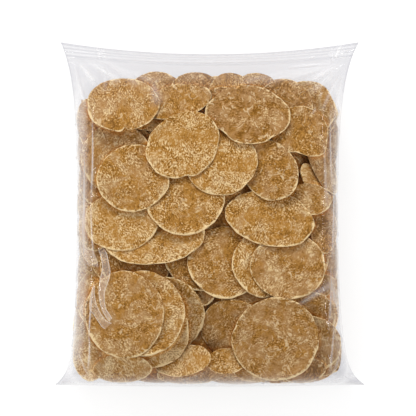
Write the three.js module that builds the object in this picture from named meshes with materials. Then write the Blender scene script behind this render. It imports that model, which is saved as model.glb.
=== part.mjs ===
// A clear zip-topped film bag, sealed at both ends and full of round sago papads.
// The bag can't stand unheld, so it lies on its back with the filled front up.
// X runs across the bag, Y from the foot seal to the zip, Z up. Sizes are in millimetres.
// The origin is the middle of the bag's plan, on the surface that it lies on.
//
// The solid is the closed bag as film and contents fill it. Its outside is two sheets of
// film, a front and a back, that meet along the bag's outline. Each sheet is a net of
// rows, from the zip to the foot, and columns, from the left edge to the right. The heap
// of papads pushes the sheets apart, and the film is drawn taut over the heap.
import * as THREE from "three";

// Outline of the bag
const LENGTH = 303; // from the line of the top corners to the foot seal
const TOP_SAG = 10.5; // the top edge dips this far between its corners
const FOOT_SAG = 2; // the foot seal bows out this far between its tips
const WAIST_HALF = 113.2;
const WAIST_SHIFT = -2.2; // the waist stands a little left of the seals
const TOP_FLARE = { out: 17.5, reach: 36 };
const FOOT_FLARE = { out: 11.5, reach: 50 };
const EAR_FLARE = { out: 11.6, reach: 12 }; // the flat tips beside the foot seal

// Heights above the surface that the bag lies on
const HEAP_HEIGHT = 84;
const EDGE_HEIGHT = 34; // where front and back film meet along the sides
const TOP_FIN_HEIGHT = 19;
const FOOT_FIN_HEIGHT = 11;
const TOP_FIN_RISE = 75; // the outline climbs from fin to side over this length
const FOOT_FIN_RISE = 45;
const FIN_HALF = 0.5; // half the thickness of the flat film at the seals

// The heap of papads: its plan, and how long each shoulder is
const HEAP_TOP = 122;
const HEAP_FOOT = -148.5;
const HEAP_INSET = 1.2; // from the side edge of the film
const FRONT_SHOULDER = { side: 24, top: 50, foot: 25, power: 2.4 };
const BACK_SHOULDER = { side: 17, top: 40, foot: 12, power: 2.5 };
const BACK_PRESS = 1.1; // over 1, so that the back lies flat on the surface
const FAN_CENTRE = { x: -5, y: -9 }; // the point that the flat of the back fans from
const CROWN = { across: 0.05, along: 0.06 };

// The zip: ribs along the top edge, by their distance below it
const RIBS = [4.2, 6.8, 9.8];
const RIB_HALF_WIDTH = 0.9;
const RIB_HEIGHT = 0.8;

// Pull folds in the film, fanning from each top corner to the heap
const FOLD = { height: 2.6, count: 3.5, near: 8, far: 74, clear: 1.5 };

// Papads that press on the front film, the foremost first: the middle of each, its half
// length and half breadth, and the turn of its long side in degrees
const FRONT_PAPADS = [
  { x: -75, y: 95, long: 32, broad: 24, turn: 0 },
  { x: -23, y: 60, long: 33, broad: 27, turn: 35 },
  { x: 38, y: 85, long: 33, broad: 25, turn: 0 },
  { x: -66, y: 32, long: 31, broad: 30, turn: 0 },
  { x: -73, y: -85, long: 37, broad: 34, turn: 90 },
  { x: 56, y: -106, long: 37, broad: 36, turn: 0 },
  { x: 10, y: 46, long: 31, broad: 29, turn: 0 },
  { x: 51, y: 38, long: 27, broad: 23, turn: -50 },
  { x: 51, y: -2, long: 38, broad: 24, turn: -10 },
  { x: -29, y: 97, long: 31, broad: 16, turn: 12 },
  { x: 19, y: 91, long: 27, broad: 20, turn: 0 },
  { x: -22, y: 15, long: 34, broad: 33, turn: 0 },
  { x: -76, y: -5, long: 32, broad: 25, turn: 0 },
  { x: -77, y: -135, long: 26, broad: 12, turn: 0 },
  { x: 74, y: 68, long: 26, broad: 22, turn: -40 },
  { x: 79, y: 14, long: 25, broad: 14, turn: -12 },
  { x: -49, y: -18, long: 43, broad: 25, turn: 5 },
  { x: -56, y: -84, long: 37, broad: 34, turn: 90 },
  { x: 67, y: -44, long: 32, broad: 29, turn: 0 },
  { x: 46, y: -42, long: 28, broad: 27, turn: 0 },
  { x: 13, y: -40, long: 32, broad: 31, turn: 0 },
  { x: -38, y: -86, long: 33, broad: 32, turn: 90 },
  { x: -24, y: -125, long: 25, broad: 14, turn: 12 },
  { x: 39, y: -130, long: 21, broad: 15, turn: 0 },
  { x: 77, y: -134, long: 21, broad: 13, turn: 0 },
  { x: 19, y: -97, long: 27, broad: 26, turn: 0 },
  { x: 85, y: -112, long: 28, broad: 26, turn: 0 },
  { x: 85, y: -88, long: 23, broad: 22, turn: 0 },
  { x: -6, y: -38, long: 33, broad: 27, turn: 0 },
  { x: -90, y: 55, long: 24, broad: 21, turn: 90 },
  { x: -89, y: -40, long: 22, broad: 18, turn: 90 },
  { x: 92, y: -16, long: 24, broad: 15, turn: 90 },
  { x: 82, y: 98, long: 26, broad: 20, turn: -30 },
];
const PAPAD_STEP = 2.8; // from the top of one papad to the top of the next behind it
const PAPAD_RIM = { drop: 5, soft: 6, reach: 1.05 }; // the fall at its round edge
const TILT = { most: 0.24, step: 0.04 }; // rise per run that a papad may lean by
const SPOTS = { reaches: [0.4, 0.75, 1], spokes: 16 }; // where a papad is felt for room
const GAP_DROP = 9; // the film between papads is at most this deep
const GAP_SHOULDER = { side: 50, top: 84, foot: 50, power: 1 };
const CLING = { gap: 1, from: 0.97 }; // the film stands this far off at most

// Net of the film
const COLUMNS = 52;
const EVEN_SHARE = 0.55; // columns gather towards the edges by the rest
const BODY_STEP = 4.9; // between rows on the body, and less near both ends
const TOP_STEP = { least: 3, growth: 0.1 };
const FOOT_STEP = { least: 2, growth: 0.16 };
const TAUT_SWEEPS = 400;
const TAUT_DRIVE = 1.7; // over-relaxation, which settles the film sooner

const fade = (distance, { out, reach }) => out * Math.exp(-distance / reach);
const smooth = (t) => {
  const u = Math.min(1, Math.max(0, t));
  return u * u * (3 - 2 * u);
};

// Half the bag's width at a row this far below the top corners.
function halfWidth(below) {
  const above = LENGTH - below;
  return (
    WAIST_HALF +
    fade(below, TOP_FLARE) +
    fade(above, FOOT_FLARE) +
    fade(above, EAR_FLARE)
  );
}

// The middle of a row: the waist's shift dies away towards both seals.
function rowMiddle(below) {
  return WAIST_SHIFT * Math.sqrt(Math.sin((Math.PI * below) / LENGTH));
}

// Height at which the front and the back film meet, at a row.
function edgeHeight(below) {
  const top = smooth(below / TOP_FIN_RISE);
  const foot = smooth((LENGTH - below) / FOOT_FIN_RISE);
  const fromTop = TOP_FIN_HEIGHT + (EDGE_HEIGHT - TOP_FIN_HEIGHT) * top;
  const fromFoot = FOOT_FIN_HEIGHT + (EDGE_HEIGHT - FOOT_FIN_HEIGHT) * foot;
  return fromTop + fromFoot - EDGE_HEIGHT;
}

// How full the heap is at a point, from 0 outside its plan to 1 past its shoulders. The
// shoulder is a quarter of a superellipse on each side, and of both together at a corner.
function fullness(x, y, shoulder) {
  const below = Math.max(0, LENGTH / 2 - y);
  const fromSide = halfWidth(below) - HEAP_INSET - Math.abs(x - rowMiddle(below));
  const fromTop = (HEAP_TOP - y) / shoulder.top;
  const fromFoot = (y - HEAP_FOOT) / shoulder.foot;
  const side = Math.max(0, 1 - fromSide / shoulder.side);
  const end = Math.max(0, 1 - Math.min(fromTop, fromFoot));
  const left = 1 - side ** shoulder.power - end ** shoulder.power;
  return left > 0 ? left ** (1 / shoulder.power) : 0;
}

// The heap's height where nothing dips between papads: highest in its middle.
function heapHeight(x, y) {
  const middle = (HEAP_TOP + HEAP_FOOT) / 2;
  const along = (2 * (y - middle)) / (HEAP_TOP - HEAP_FOOT);
  const across = x / WAIST_HALF;
  const crown = CROWN.across * across ** 2 + CROWN.along * along ** 2;
  const edge = edgeHeight(Math.max(0, LENGTH / 2 - y));
  const full = fullness(x, y, FRONT_SHOULDER);
  return edge + (HEAP_HEIGHT * (1 - crown) - edge) * full;
}

// How far out a point is on a papad: 0 in its middle and 1 on its rim.
function reachOn(papad, x, y) {
  const turn = THREE.MathUtils.degToRad(papad.turn);
  const along = (x - papad.x) * Math.cos(turn) + (y - papad.y) * Math.sin(turn);
  const over = (y - papad.y) * Math.cos(turn) - (x - papad.x) * Math.sin(turn);
  return Math.hypot(along / papad.long, over / papad.broad);
}

// Height of a resting papad's upper face, as a plane, at a point.
function planeHeight({ x, y, height, lean }, px, py) {
  return height + lean.x * (px - x) + lean.y * (py - y);
}

// Points spread over a papad, out to its rim.
function spotsOn({ x, y, long, broad, turn }) {
  const spots = [{ x, y }];
  const angle = THREE.MathUtils.degToRad(turn);
  for (const reach of SPOTS.reaches)
    for (let spoke = 0; spoke < SPOTS.spokes; spoke++) {
      const round = (2 * Math.PI * spoke) / SPOTS.spokes;
      const along = reach * long * Math.cos(round);
      const over = reach * broad * Math.sin(round);
      spots.push({
        x: x + along * Math.cos(angle) - over * Math.sin(angle),
        y: y + along * Math.sin(angle) + over * Math.cos(angle),
      });
    }
  return spots;
}

// Where each papad comes to rest. It's pushed up against the film and the papads in front
// of it, and leans the way that lets its middle rise furthest.
function restPapads() {
  const resting = [];
  for (const papad of FRONT_PAPADS) {
    const spots = spotsOn(papad).map((spot) => {
      const over = resting.filter((other) => reachOn(other, spot.x, spot.y) < 1);
      const faces = over.map((other) => planeHeight(other, spot.x, spot.y));
      const room = Math.min(...faces.map((face) => face - PAPAD_STEP), Infinity);
      return { ...spot, room: Math.min(heapHeight(spot.x, spot.y), room) };
    });
    let best = { ...papad, height: -Infinity };
    for (let u = -TILT.most; u <= TILT.most; u += TILT.step)
      for (let v = -TILT.most; v <= TILT.most; v += TILT.step) {
        const level = { ...papad, height: 0, lean: { x: u, y: v } };
        const height = Math.min(
          ...spots.map((spot) => spot.room - planeHeight(level, spot.x, spot.y)),
        );
        if (height > best.height) best = { ...level, height };
      }
    resting.push(best);
  }
  return resting;
}

// Height of the papads under the front film at a point, with the gaps between them.
function contentsHeight(resting, x, y) {
  const heap = heapHeight(x, y);
  let height = heap - GAP_DROP * smooth(fullness(x, y, GAP_SHOULDER));
  for (const papad of resting) {
    const reach = reachOn(papad, x, y);
    if (reach > PAPAD_RIM.reach) continue;
    const inside = ((PAPAD_RIM.reach - reach) * papad.broad) / PAPAD_RIM.soft;
    const fall = PAPAD_RIM.drop * (1 - smooth(inside));
    height = Math.max(height, planeHeight(papad, x, y) - fall);
  }
  return Math.min(height, heap);
}

// Distances of the rows below the top edge: at the ribs, then wider apart on the body.
function rowDistances() {
  const rows = [0];
  for (const rib of RIBS)
    rows.push(rib - RIB_HALF_WIDTH, rib, rib + RIB_HALF_WIDTH);
  const start = RIBS[RIBS.length - 1] + RIB_HALF_WIDTH;
  let below = start;
  for (;;) {
    const step = Math.min(
      BODY_STEP,
      TOP_STEP.least + TOP_STEP.growth * (below - start),
      FOOT_STEP.least + FOOT_STEP.growth * (LENGTH - below),
    );
    below += step;
    if (below > LENGTH - FOOT_STEP.least / 2) break;
    rows.push(below);
  }
  return [...rows, LENGTH];
}

// A rib's height above the flat film at this distance below the top edge.
function ribHeight(below) {
  const nearest = Math.min(...RIBS.map((rib) => Math.abs(below - rib)));
  return RIB_HEIGHT * Math.max(0, 1 - nearest / RIB_HALF_WIDTH);
}

// Plan of the net: one { x, y, below } for each row and column.
function filmNet() {
  return rowDistances().map((below) => {
    const row = [];
    for (let i = 0; i <= COLUMNS; i++) {
      const s = (2 * i) / COLUMNS - 1;
      const across =
        EVEN_SHARE * s + (1 - EVEN_SHARE) * Math.sin((Math.PI * s) / 2);
      const dip = (1 - across ** 2) * Math.exp(-below / TOP_FLARE.reach);
      const rise = across ** 2 * Math.exp(-(LENGTH - below) / EAR_FLARE.reach);
      row.push({
        x: rowMiddle(below) + halfWidth(below) * across,
        y: LENGTH / 2 - below - TOP_SAG * dip + FOOT_SAG * rise,
        below,
      });
    }
    return row;
  });
}

// Heights of a sheet of film drawn taut between its edges, never past its limits. Each
// inner knot moves to the mean of its four neighbours, weighed by their distances, and
// is then held by what it meets.
function drawTaut(net, start, held) {
  const z = start.map((row) => row.slice());
  const gap = (a, b) => Math.hypot(a.x - b.x, a.y - b.y);
  const last = net.length - 1;
  for (let sweep = 0; sweep < TAUT_SWEEPS; sweep++)
    for (let j = 1; j < last; j++)
      for (let i = 1; i < COLUMNS; i++) {
        const left = gap(net[j][i], net[j][i - 1]);
        const right = gap(net[j][i], net[j][i + 1]);
        const up = gap(net[j][i], net[j - 1][i]);
        const down = gap(net[j][i], net[j + 1][i]);
        const pull =
          (z[j][i - 1] / left + z[j][i + 1] / right) / (left + right) +
          (z[j - 1][i] / up + z[j + 1][i] / down) / (up + down);
        const weight = 1 / (left * right) + 1 / (up * down);
        const moved = z[j][i] + TAUT_DRIVE * (pull / weight - z[j][i]);
        z[j][i] = held(moved, j, i);
      }
  return z;
}

// The fan of pull folds from a top corner, as a height added to the front film. It is
// strongest halfway between the corner and the heap.
function foldHeight(point, corner) {
  const dx = Math.abs(point.x - corner.x);
  const dy = corner.y - point.y;
  const far = Math.hypot(dx, dy);
  if (far < FOLD.near || far > FOLD.far) return 0;
  const along = (far - FOLD.near) / (FOLD.far - FOLD.near);
  const turn = Math.atan2(dy, dx) / (Math.PI / 2);
  const wave = Math.cos(2 * Math.PI * FOLD.count * turn);
  return FOLD.height * wave * Math.sin(Math.PI * along) ** 2;
}

// The front sheet: over the papads, and no lower than the flat film.
function frontSheet(net) {
  const resting = restPapads();
  const floor = net.map((row) =>
    row.map(({ x, y, below }) => {
      const flat = edgeHeight(below) + FIN_HALF;
      return Math.max(contentsHeight(resting, x, y), flat);
    }),
  );
  const ceiling = net.map((row, j) =>
    row.map(({ x, y }, i) => {
      const clings = fullness(x, y, FRONT_SHOULDER) > CLING.from;
      return clings ? floor[j][i] + CLING.gap : Infinity;
    }),
  );
  const z = drawTaut(net, floor, (moved, j, i) =>
    Math.min(ceiling[j][i], Math.max(moved, floor[j][i])),
  );
  const corners = [net[0][0], net[0][COLUMNS]];
  return z.map((row, j) =>
    row.map((height, i) => {
      const point = net[j][i];
      const loose = height - floor[j][i] > FOLD.clear;
      const fold = corners.reduce((sum, c) => sum + foldHeight(point, c), 0);
      return height + (loose ? fold : 0) + ribHeight(point.below);
    }),
  );
}

// The back sheet: under the papads, pressed flat where the heap weighs on the surface.
function backSheet(net) {
  const ceiling = net.map((row) =>
    row.map(({ x, y, below }) => {
      const edge = edgeHeight(below);
      const full = fullness(x, y, BACK_SHOULDER);
      const heap = Math.max(0, edge * (1 - BACK_PRESS * full));
      return Math.min(heap, edge - FIN_HALF);
    }),
  );
  const z = drawTaut(net, ceiling, (moved, j, i) =>
    Math.max(0, Math.min(moved, ceiling[j][i])),
  );
  return z.map((row, j) =>
    row.map((height, i) => Math.max(0, height - ribHeight(net[j][i].below))),
  );
}

// One closed mesh from the two sheets, with a narrow wall between them all round. The
// back's pressed middle is a flat fan of triangles round one point.
function bagGeometry() {
  const net = filmNet();
  const front = frontSheet(net);
  const back = backSheet(net);
  const rows = net.length;
  const columns = COLUMNS + 1;
  const positions = [];
  for (const sheet of [front, back])
    net.forEach((row, j) =>
      row.forEach(({ x, y }, i) => positions.push(x, y, sheet[j][i])),
    );
  const centre = positions.length / 3;
  positions.push(FAN_CENTRE.x, FAN_CENTRE.y, 0);

  const faces = [];
  const knot = (sheet, [j, i]) => (sheet * rows + j) * columns + i;
  const quad = (a, b, c, d) => faces.push(a, b, c, a, c, d);
  const cornersOf = (j, i) => [
    [j, i],
    [j, i + 1],
    [j + 1, i + 1],
    [j + 1, i],
  ];
  const pressed = (j, i) =>
    cornersOf(j, i).every(([row, column]) => back[row][column] === 0);
  for (let j = 0; j + 1 < rows; j++)
    for (let i = 0; i + 1 < columns; i++) {
      const corners = cornersOf(j, i);
      quad(...corners.toReversed().map((corner) => knot(0, corner)));
      const under = corners.map((corner) => knot(1, corner));
      if (!pressed(j, i)) {
        quad(...under);
        continue;
      }
      const beside = [[j - 1, i], [j, i + 1], [j + 1, i], [j, i - 1]];
      beside.forEach((neighbour, side) => {
        if (pressed(...neighbour)) return;
        faces.push(under[side], under[(side + 1) % under.length], centre);
      });
    }
  const wall = (a, b) => quad(knot(0, a), knot(1, a), knot(1, b), knot(0, b));
  for (let i = 0; i + 1 < columns; i++) {
    wall([rows - 1, i], [rows - 1, i + 1]);
    wall([0, i + 1], [0, i]);
  }
  for (let j = 0; j + 1 < rows; j++) {
    wall([j, 0], [j + 1, 0]);
    wall([j + 1, columns - 1], [j, columns - 1]);
  }

  const geometry = new THREE.BufferGeometry();
  geometry.setAttribute(
    "position",
    new THREE.Float32BufferAttribute(positions, 3),
  );
  geometry.setIndex(faces);
  geometry.computeVertexNormals();
  return geometry.toNonIndexed();
}

const filledBag = new THREE.MeshStandardMaterial({
  color: new THREE.Color(0.66, 0.46, 0.26),
  roughness: 0.35,
  metalness: 0,
});

const group = new THREE.Group();
group.name = "bag_of_sago_papads";
const bag = new THREE.Mesh(bagGeometry(), filledBag);
bag.name = "papad_bag";
group.add(bag);

export default group;
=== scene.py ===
"""A clear zip-topped film bag full of round sago papads, lying on its back, front up.

The bag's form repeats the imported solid's: the same outline, heap and shoulders, in
millimetres. Papads are pushed out against the inside of the film one by one, the
foremost first, and the film is then drawn taut over them.
"""

from __future__ import annotations

import logging
import math
from dataclasses import dataclass
from enum import Enum

import bpy
import numpy as np
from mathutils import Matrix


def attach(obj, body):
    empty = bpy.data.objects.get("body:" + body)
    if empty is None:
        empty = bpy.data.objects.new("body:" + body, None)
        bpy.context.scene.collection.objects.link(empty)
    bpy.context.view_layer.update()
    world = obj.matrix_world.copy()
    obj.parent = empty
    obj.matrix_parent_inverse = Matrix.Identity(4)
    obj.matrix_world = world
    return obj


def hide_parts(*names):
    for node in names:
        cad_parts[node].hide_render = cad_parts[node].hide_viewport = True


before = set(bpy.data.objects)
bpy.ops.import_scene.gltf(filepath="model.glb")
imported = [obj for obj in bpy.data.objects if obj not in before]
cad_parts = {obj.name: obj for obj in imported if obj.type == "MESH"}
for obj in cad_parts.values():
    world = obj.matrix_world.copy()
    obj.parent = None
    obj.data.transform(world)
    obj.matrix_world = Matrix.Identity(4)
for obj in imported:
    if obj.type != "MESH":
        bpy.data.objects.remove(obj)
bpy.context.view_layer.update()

LOG = logging.getLogger("papad_bag")
Array = np.ndarray
Pair = tuple[float, float]
Triple = tuple[float, float, float]
MM = 0.001
NODE = "papad_bag"
BODY = "root"

# Large whole numbers that scatter the bits of a point's place and seed
SCATTER = (374761393, 668265263, 1442695041, 1274126177)
LOW_BITS = 0xFFFFFFFF


# ---------------------------------------------------------------- small formulas


def smooth(t: Array) -> Array:
    """A step from 0 to 1 with level ends: 3t² − 2t³, held to 0..1."""
    u = np.clip(t, 0.0, 1.0)
    return u * u * (3.0 - 2.0 * u)


def rise(value: Array, start: float, over: float) -> Array:
    """smooth() of a value that starts to rise at start and takes over to reach 1."""
    return smooth((value - start) / over)


def bump_at(distance: Array, width: float) -> Array:
    """A bell of height 1: e to the minus (distance / width)²."""
    return np.exp(-((distance / width) ** 2))


def round_angles(count: int) -> Array:
    """Evenly spaced angles of a full turn, in radians."""
    return np.linspace(0, 2 * np.pi, count, endpoint=False)


def lattice(ix: Array, iy: Array, seed: Array) -> Array:
    """A fixed random number from 0 to 1 for each whole-number point and seed.

    Args:
        ix: first whole numbers.
        iy: second whole numbers.
        seed: one number or an array that broadcasts.

    Returns:
        The numbers.
    """
    by_x, by_y, by_seed, again = SCATTER
    n = ix.astype(np.int64) * by_x + iy.astype(np.int64) * by_y
    n = (n + np.asarray(seed, np.int64) * by_seed) & LOW_BITS
    n = ((n ^ (n >> 13)) * again) & LOW_BITS
    return ((n ^ (n >> 16)) & 0xFFFF) / 65535.0


def noise(x: Array, y: Array, seed: Array = 0) -> Array:
    """Value noise from −1 to 1: lattice numbers one apart, blended by smooth().

    Args:
        x: first coordinate, in steps of the pattern.
        y: second coordinate, in the same steps.
        seed: which pattern, one number or an array that broadcasts.

    Returns:
        The noise at each point.
    """
    ix, iy = np.floor(x), np.floor(y)
    fx, fy = smooth(x - ix), smooth(y - iy)
    near = lattice(ix, iy, seed) * (1 - fx) + lattice(ix + 1, iy, seed) * fx
    far = lattice(ix, iy + 1, seed) * (1 - fx) + lattice(ix + 1, iy + 1, seed) * fx
    return 2.0 * (near * (1 - fy) + far * fy) - 1.0


@dataclass(frozen=True)
class Waves:
    """A pattern of noise over the plan: its waves' width and length in mm, its seed."""

    width: float
    length: float
    seed: int

    def at(self, x: Array, y: Array) -> Array:
        """The pattern at points, from −1 to 1."""
        return noise(x / self.width, y / self.length, self.seed)


# ---------------------------------------------------------------- the photograph


@dataclass(frozen=True)
class PhotoView:
    """How the 416 by 416 photograph looks at the bag: from straight above its front."""

    size: float = 416.0
    outline_scale: float = 0.8715  # mm a pixel in the plane of the bag's outline
    front_scale: float = 0.852  # mm a pixel on the papads, which are nearer
    middle: Pair = (210.0, 215.0)  # the pixel over the bag's origin
    distance: float = 2000.0
    outline_height: float = 34.0
    sensor: float = 36.0

    def on_front(self, px: Array, py: Array) -> tuple[Array, Array]:
        """The x and y, in mm, of a pixel on the front papads."""
        across, down = px - self.middle[0], py - self.middle[1]
        return across * self.front_scale, -down * self.front_scale

    def camera(self) -> None:
        """Makes the scene's camera, which looks straight down with the zip at the top."""
        data = bpy.data.cameras.new("camera")
        data.sensor_width = self.sensor
        data.lens = self.sensor * self.distance / (self.size * self.outline_scale)
        data.clip_end = 50.0
        camera = bpy.data.objects.new("camera", data)
        x = (self.size / 2 - self.middle[0]) * self.outline_scale
        y = (self.middle[1] - self.size / 2) * self.outline_scale
        camera.location = (x * MM, y * MM, (self.distance + self.outline_height) * MM)
        bpy.context.collection.objects.link(camera)
        bpy.context.scene.camera = camera


PHOTO = PhotoView()


# ---------------------------------------------------------------- the bag's form


@dataclass(frozen=True)
class Flare:
    """How far an outline stands out near an end, and over what length it dies away."""

    out: float
    reach: float

    def at(self, distance: Array) -> Array:
        """out times e to the minus distance / reach."""
        return self.out * np.exp(-distance / self.reach)


@dataclass(frozen=True)
class Shoulder:
    """How long the heap's rounding is on each side, and the power of its curve."""

    side: float
    top: float
    foot: float
    power: float


@dataclass(frozen=True)
class BagForm:
    """Outline, heap and film heights of the filled bag, in millimetres."""

    length: float = 303.0
    top_sag: float = 10.5
    foot_sag: float = 2.0
    waist_half: float = 113.2
    waist_shift: float = -2.2
    top_flare: Flare = Flare(17.5, 36.0)
    foot_flare: Flare = Flare(11.5, 50.0)
    ear_flare: Flare = Flare(11.6, 12.0)
    heap_height: float = 84.0
    edge: float = 34.0
    top_fin: float = 19.0
    foot_fin: float = 11.0
    top_fin_rise: float = 75.0
    foot_fin_rise: float = 45.0
    heap_top: float = 125.5
    heap_foot: float = -148.5
    heap_inset: float = 1.2
    front: Shoulder = Shoulder(24.0, 50.0, 25.0, 2.4)
    back: Shoulder = Shoulder(17.0, 40.0, 12.0, 2.5)
    gap: Shoulder = Shoulder(50.0, 84.0, 50.0, 1.0)
    gap_drop: float = 9.0
    back_press: float = 1.1
    crown_across: float = 0.05
    crown_along: float = 0.06

    def below(self, y: Array) -> Array:
        """Distance below the top edge's ends, or 0 above them."""
        return np.maximum(0.0, self.length / 2 - y)

    def half_width(self, below: Array) -> Array:
        """Half the width at a distance below the top: the waist and the three flares.

        Args:
            below: distances below the top.

        Returns:
            Half widths.
        """
        above = self.length - below
        ends = self.foot_flare.at(above) + self.ear_flare.at(above)
        return self.waist_half + self.top_flare.at(below) + ends

    def row_middle(self, below: Array) -> Array:
        """The middle of a row: the waist's shift times a root of a half sine wave."""
        wave = np.sin(np.pi * np.clip(below / self.length, 0.0, 1.0))
        return self.waist_shift * np.sqrt(np.clip(wave, 0.0, 1.0))

    def row_sag(self, below: Array, across: Array) -> Array:
        """How far a row hangs: at the top most in its middle, at the foot the reverse.

        Args:
            below: distances below the top.
            across: places across the row, from −1 to 1.

        Returns:
            How far each place hangs.
        """
        dip = (1 - across**2) * np.exp(-below / self.top_flare.reach)
        rise = across**2 * np.exp(-(self.length - below) / self.ear_flare.reach)
        return self.top_sag * dip - self.foot_sag * rise

    def edge_height(self, below: Array) -> Array:
        """Height where front and back film meet: a smooth climb from both fins.

        Args:
            below: distances below the top.

        Returns:
            Heights above the surface.
        """
        top = smooth(below / self.top_fin_rise)
        foot = smooth((self.length - below) / self.foot_fin_rise)
        from_top = self.top_fin + (self.edge - self.top_fin) * top
        from_foot = self.foot_fin + (self.edge - self.foot_fin) * foot
        return from_top + from_foot - self.edge

    def fullness(self, x: Array, y: Array, shoulder: Shoulder) -> Array:
        """How full the heap is: 0 outside its plan, 1 past its shoulders.

        A quarter superellipse: the root of 1 − side power − end power, where side and
        end fall from 1 at the plan's edge to 0 at the shoulder's inner end.

        Args:
            x: across the bag.
            y: along the bag.
            shoulder: the shoulder's lengths and power.

        Returns:
            The share from 0 to 1.
        """
        below = self.below(y)
        from_side = self.half_width(below) - self.heap_inset
        from_side = from_side - np.abs(x - self.row_middle(below))
        from_top = (self.heap_top - y) / shoulder.top
        from_foot = (y - self.heap_foot) / shoulder.foot
        side = np.maximum(0.0, 1.0 - from_side / shoulder.side)
        end = np.maximum(0.0, 1.0 - np.minimum(from_top, from_foot))
        left = 1.0 - side**shoulder.power - end**shoulder.power
        return np.maximum(left, 0.0) ** (1.0 / shoulder.power)

    def heap_top_height(self, x: Array, y: Array) -> Array:
        """The heap's upper side: from the film's edge up to a low crown, by fullness.

        Args:
            x: across the bag.
            y: along the bag.

        Returns:
            Heights above the surface.
        """
        middle = (self.heap_top + self.heap_foot) / 2
        along = 2 * (y - middle) / (self.heap_top - self.heap_foot)
        across = x / self.waist_half
        crown = 1 - self.crown_across * across**2 - self.crown_along * along**2
        edge = self.edge_height(self.below(y))
        full = self.fullness(x, y, self.front)
        return edge + (self.heap_height * crown - edge) * full

    def heap_back_height(self, x: Array, y: Array) -> Array:
        """The heap's lower side: from the film's edge down to the surface, by fullness."""
        sunk = 1.0 - self.back_press * self.fullness(x, y, self.back)
        return np.maximum(0.0, self.edge_height(self.below(y)) * sunk)


FORM = BagForm()


# ---------------------------------------------------------------- papads


@dataclass(frozen=True)
class Nick:
    """A place where a papad's rim stands in, or out where deep is below 0: its
    direction in the picture in degrees, its depth as a share, and its half width in
    degrees."""

    toward: float
    deep: float
    wide: float

    def at(self, degrees: Array) -> Array:
        """How far the rim stands in: a bell of the turn away from its direction."""
        off = (degrees - self.toward + 180.0) % 360.0 - 180.0
        return self.deep * bump_at(off, self.wide)


@dataclass(frozen=True)
class PapadShape:
    """How a papad differs from a flat round disc. Heights are in mm, reaches and places
    on it are shares of its half length and half breadth."""

    thickness: float = 1.5
    waves: tuple[Pair, ...] = ((1.3, 0.032), (2.6, 0.019), (6.5, 0.010), (15.0, 0.007))
    chip: float = 0.06
    chip_width: float = 0.12  # radians
    cup: float = 1.7
    saddle: float = 2.0
    twist: float = 1.5
    ripple: float = 1.1
    curl: float = 1.3
    curl_start: float = 0.72
    curl_waves: float = 1.9
    fold: float = 2.2
    folds: float = 1.6
    full_size: float = 26.0  # mm of half breadth, below which all bends shrink


SHAPE = PapadShape()

# Which of a papad's drawn numbers decides what
FOLD_A, FOLD_B = 5, 6
CHIP, CHIP_AT, CUP, SADDLE, TWIST, RIPPLE, RIPPLE_AT, GRAIN_WAY = range(8, 16)


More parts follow.
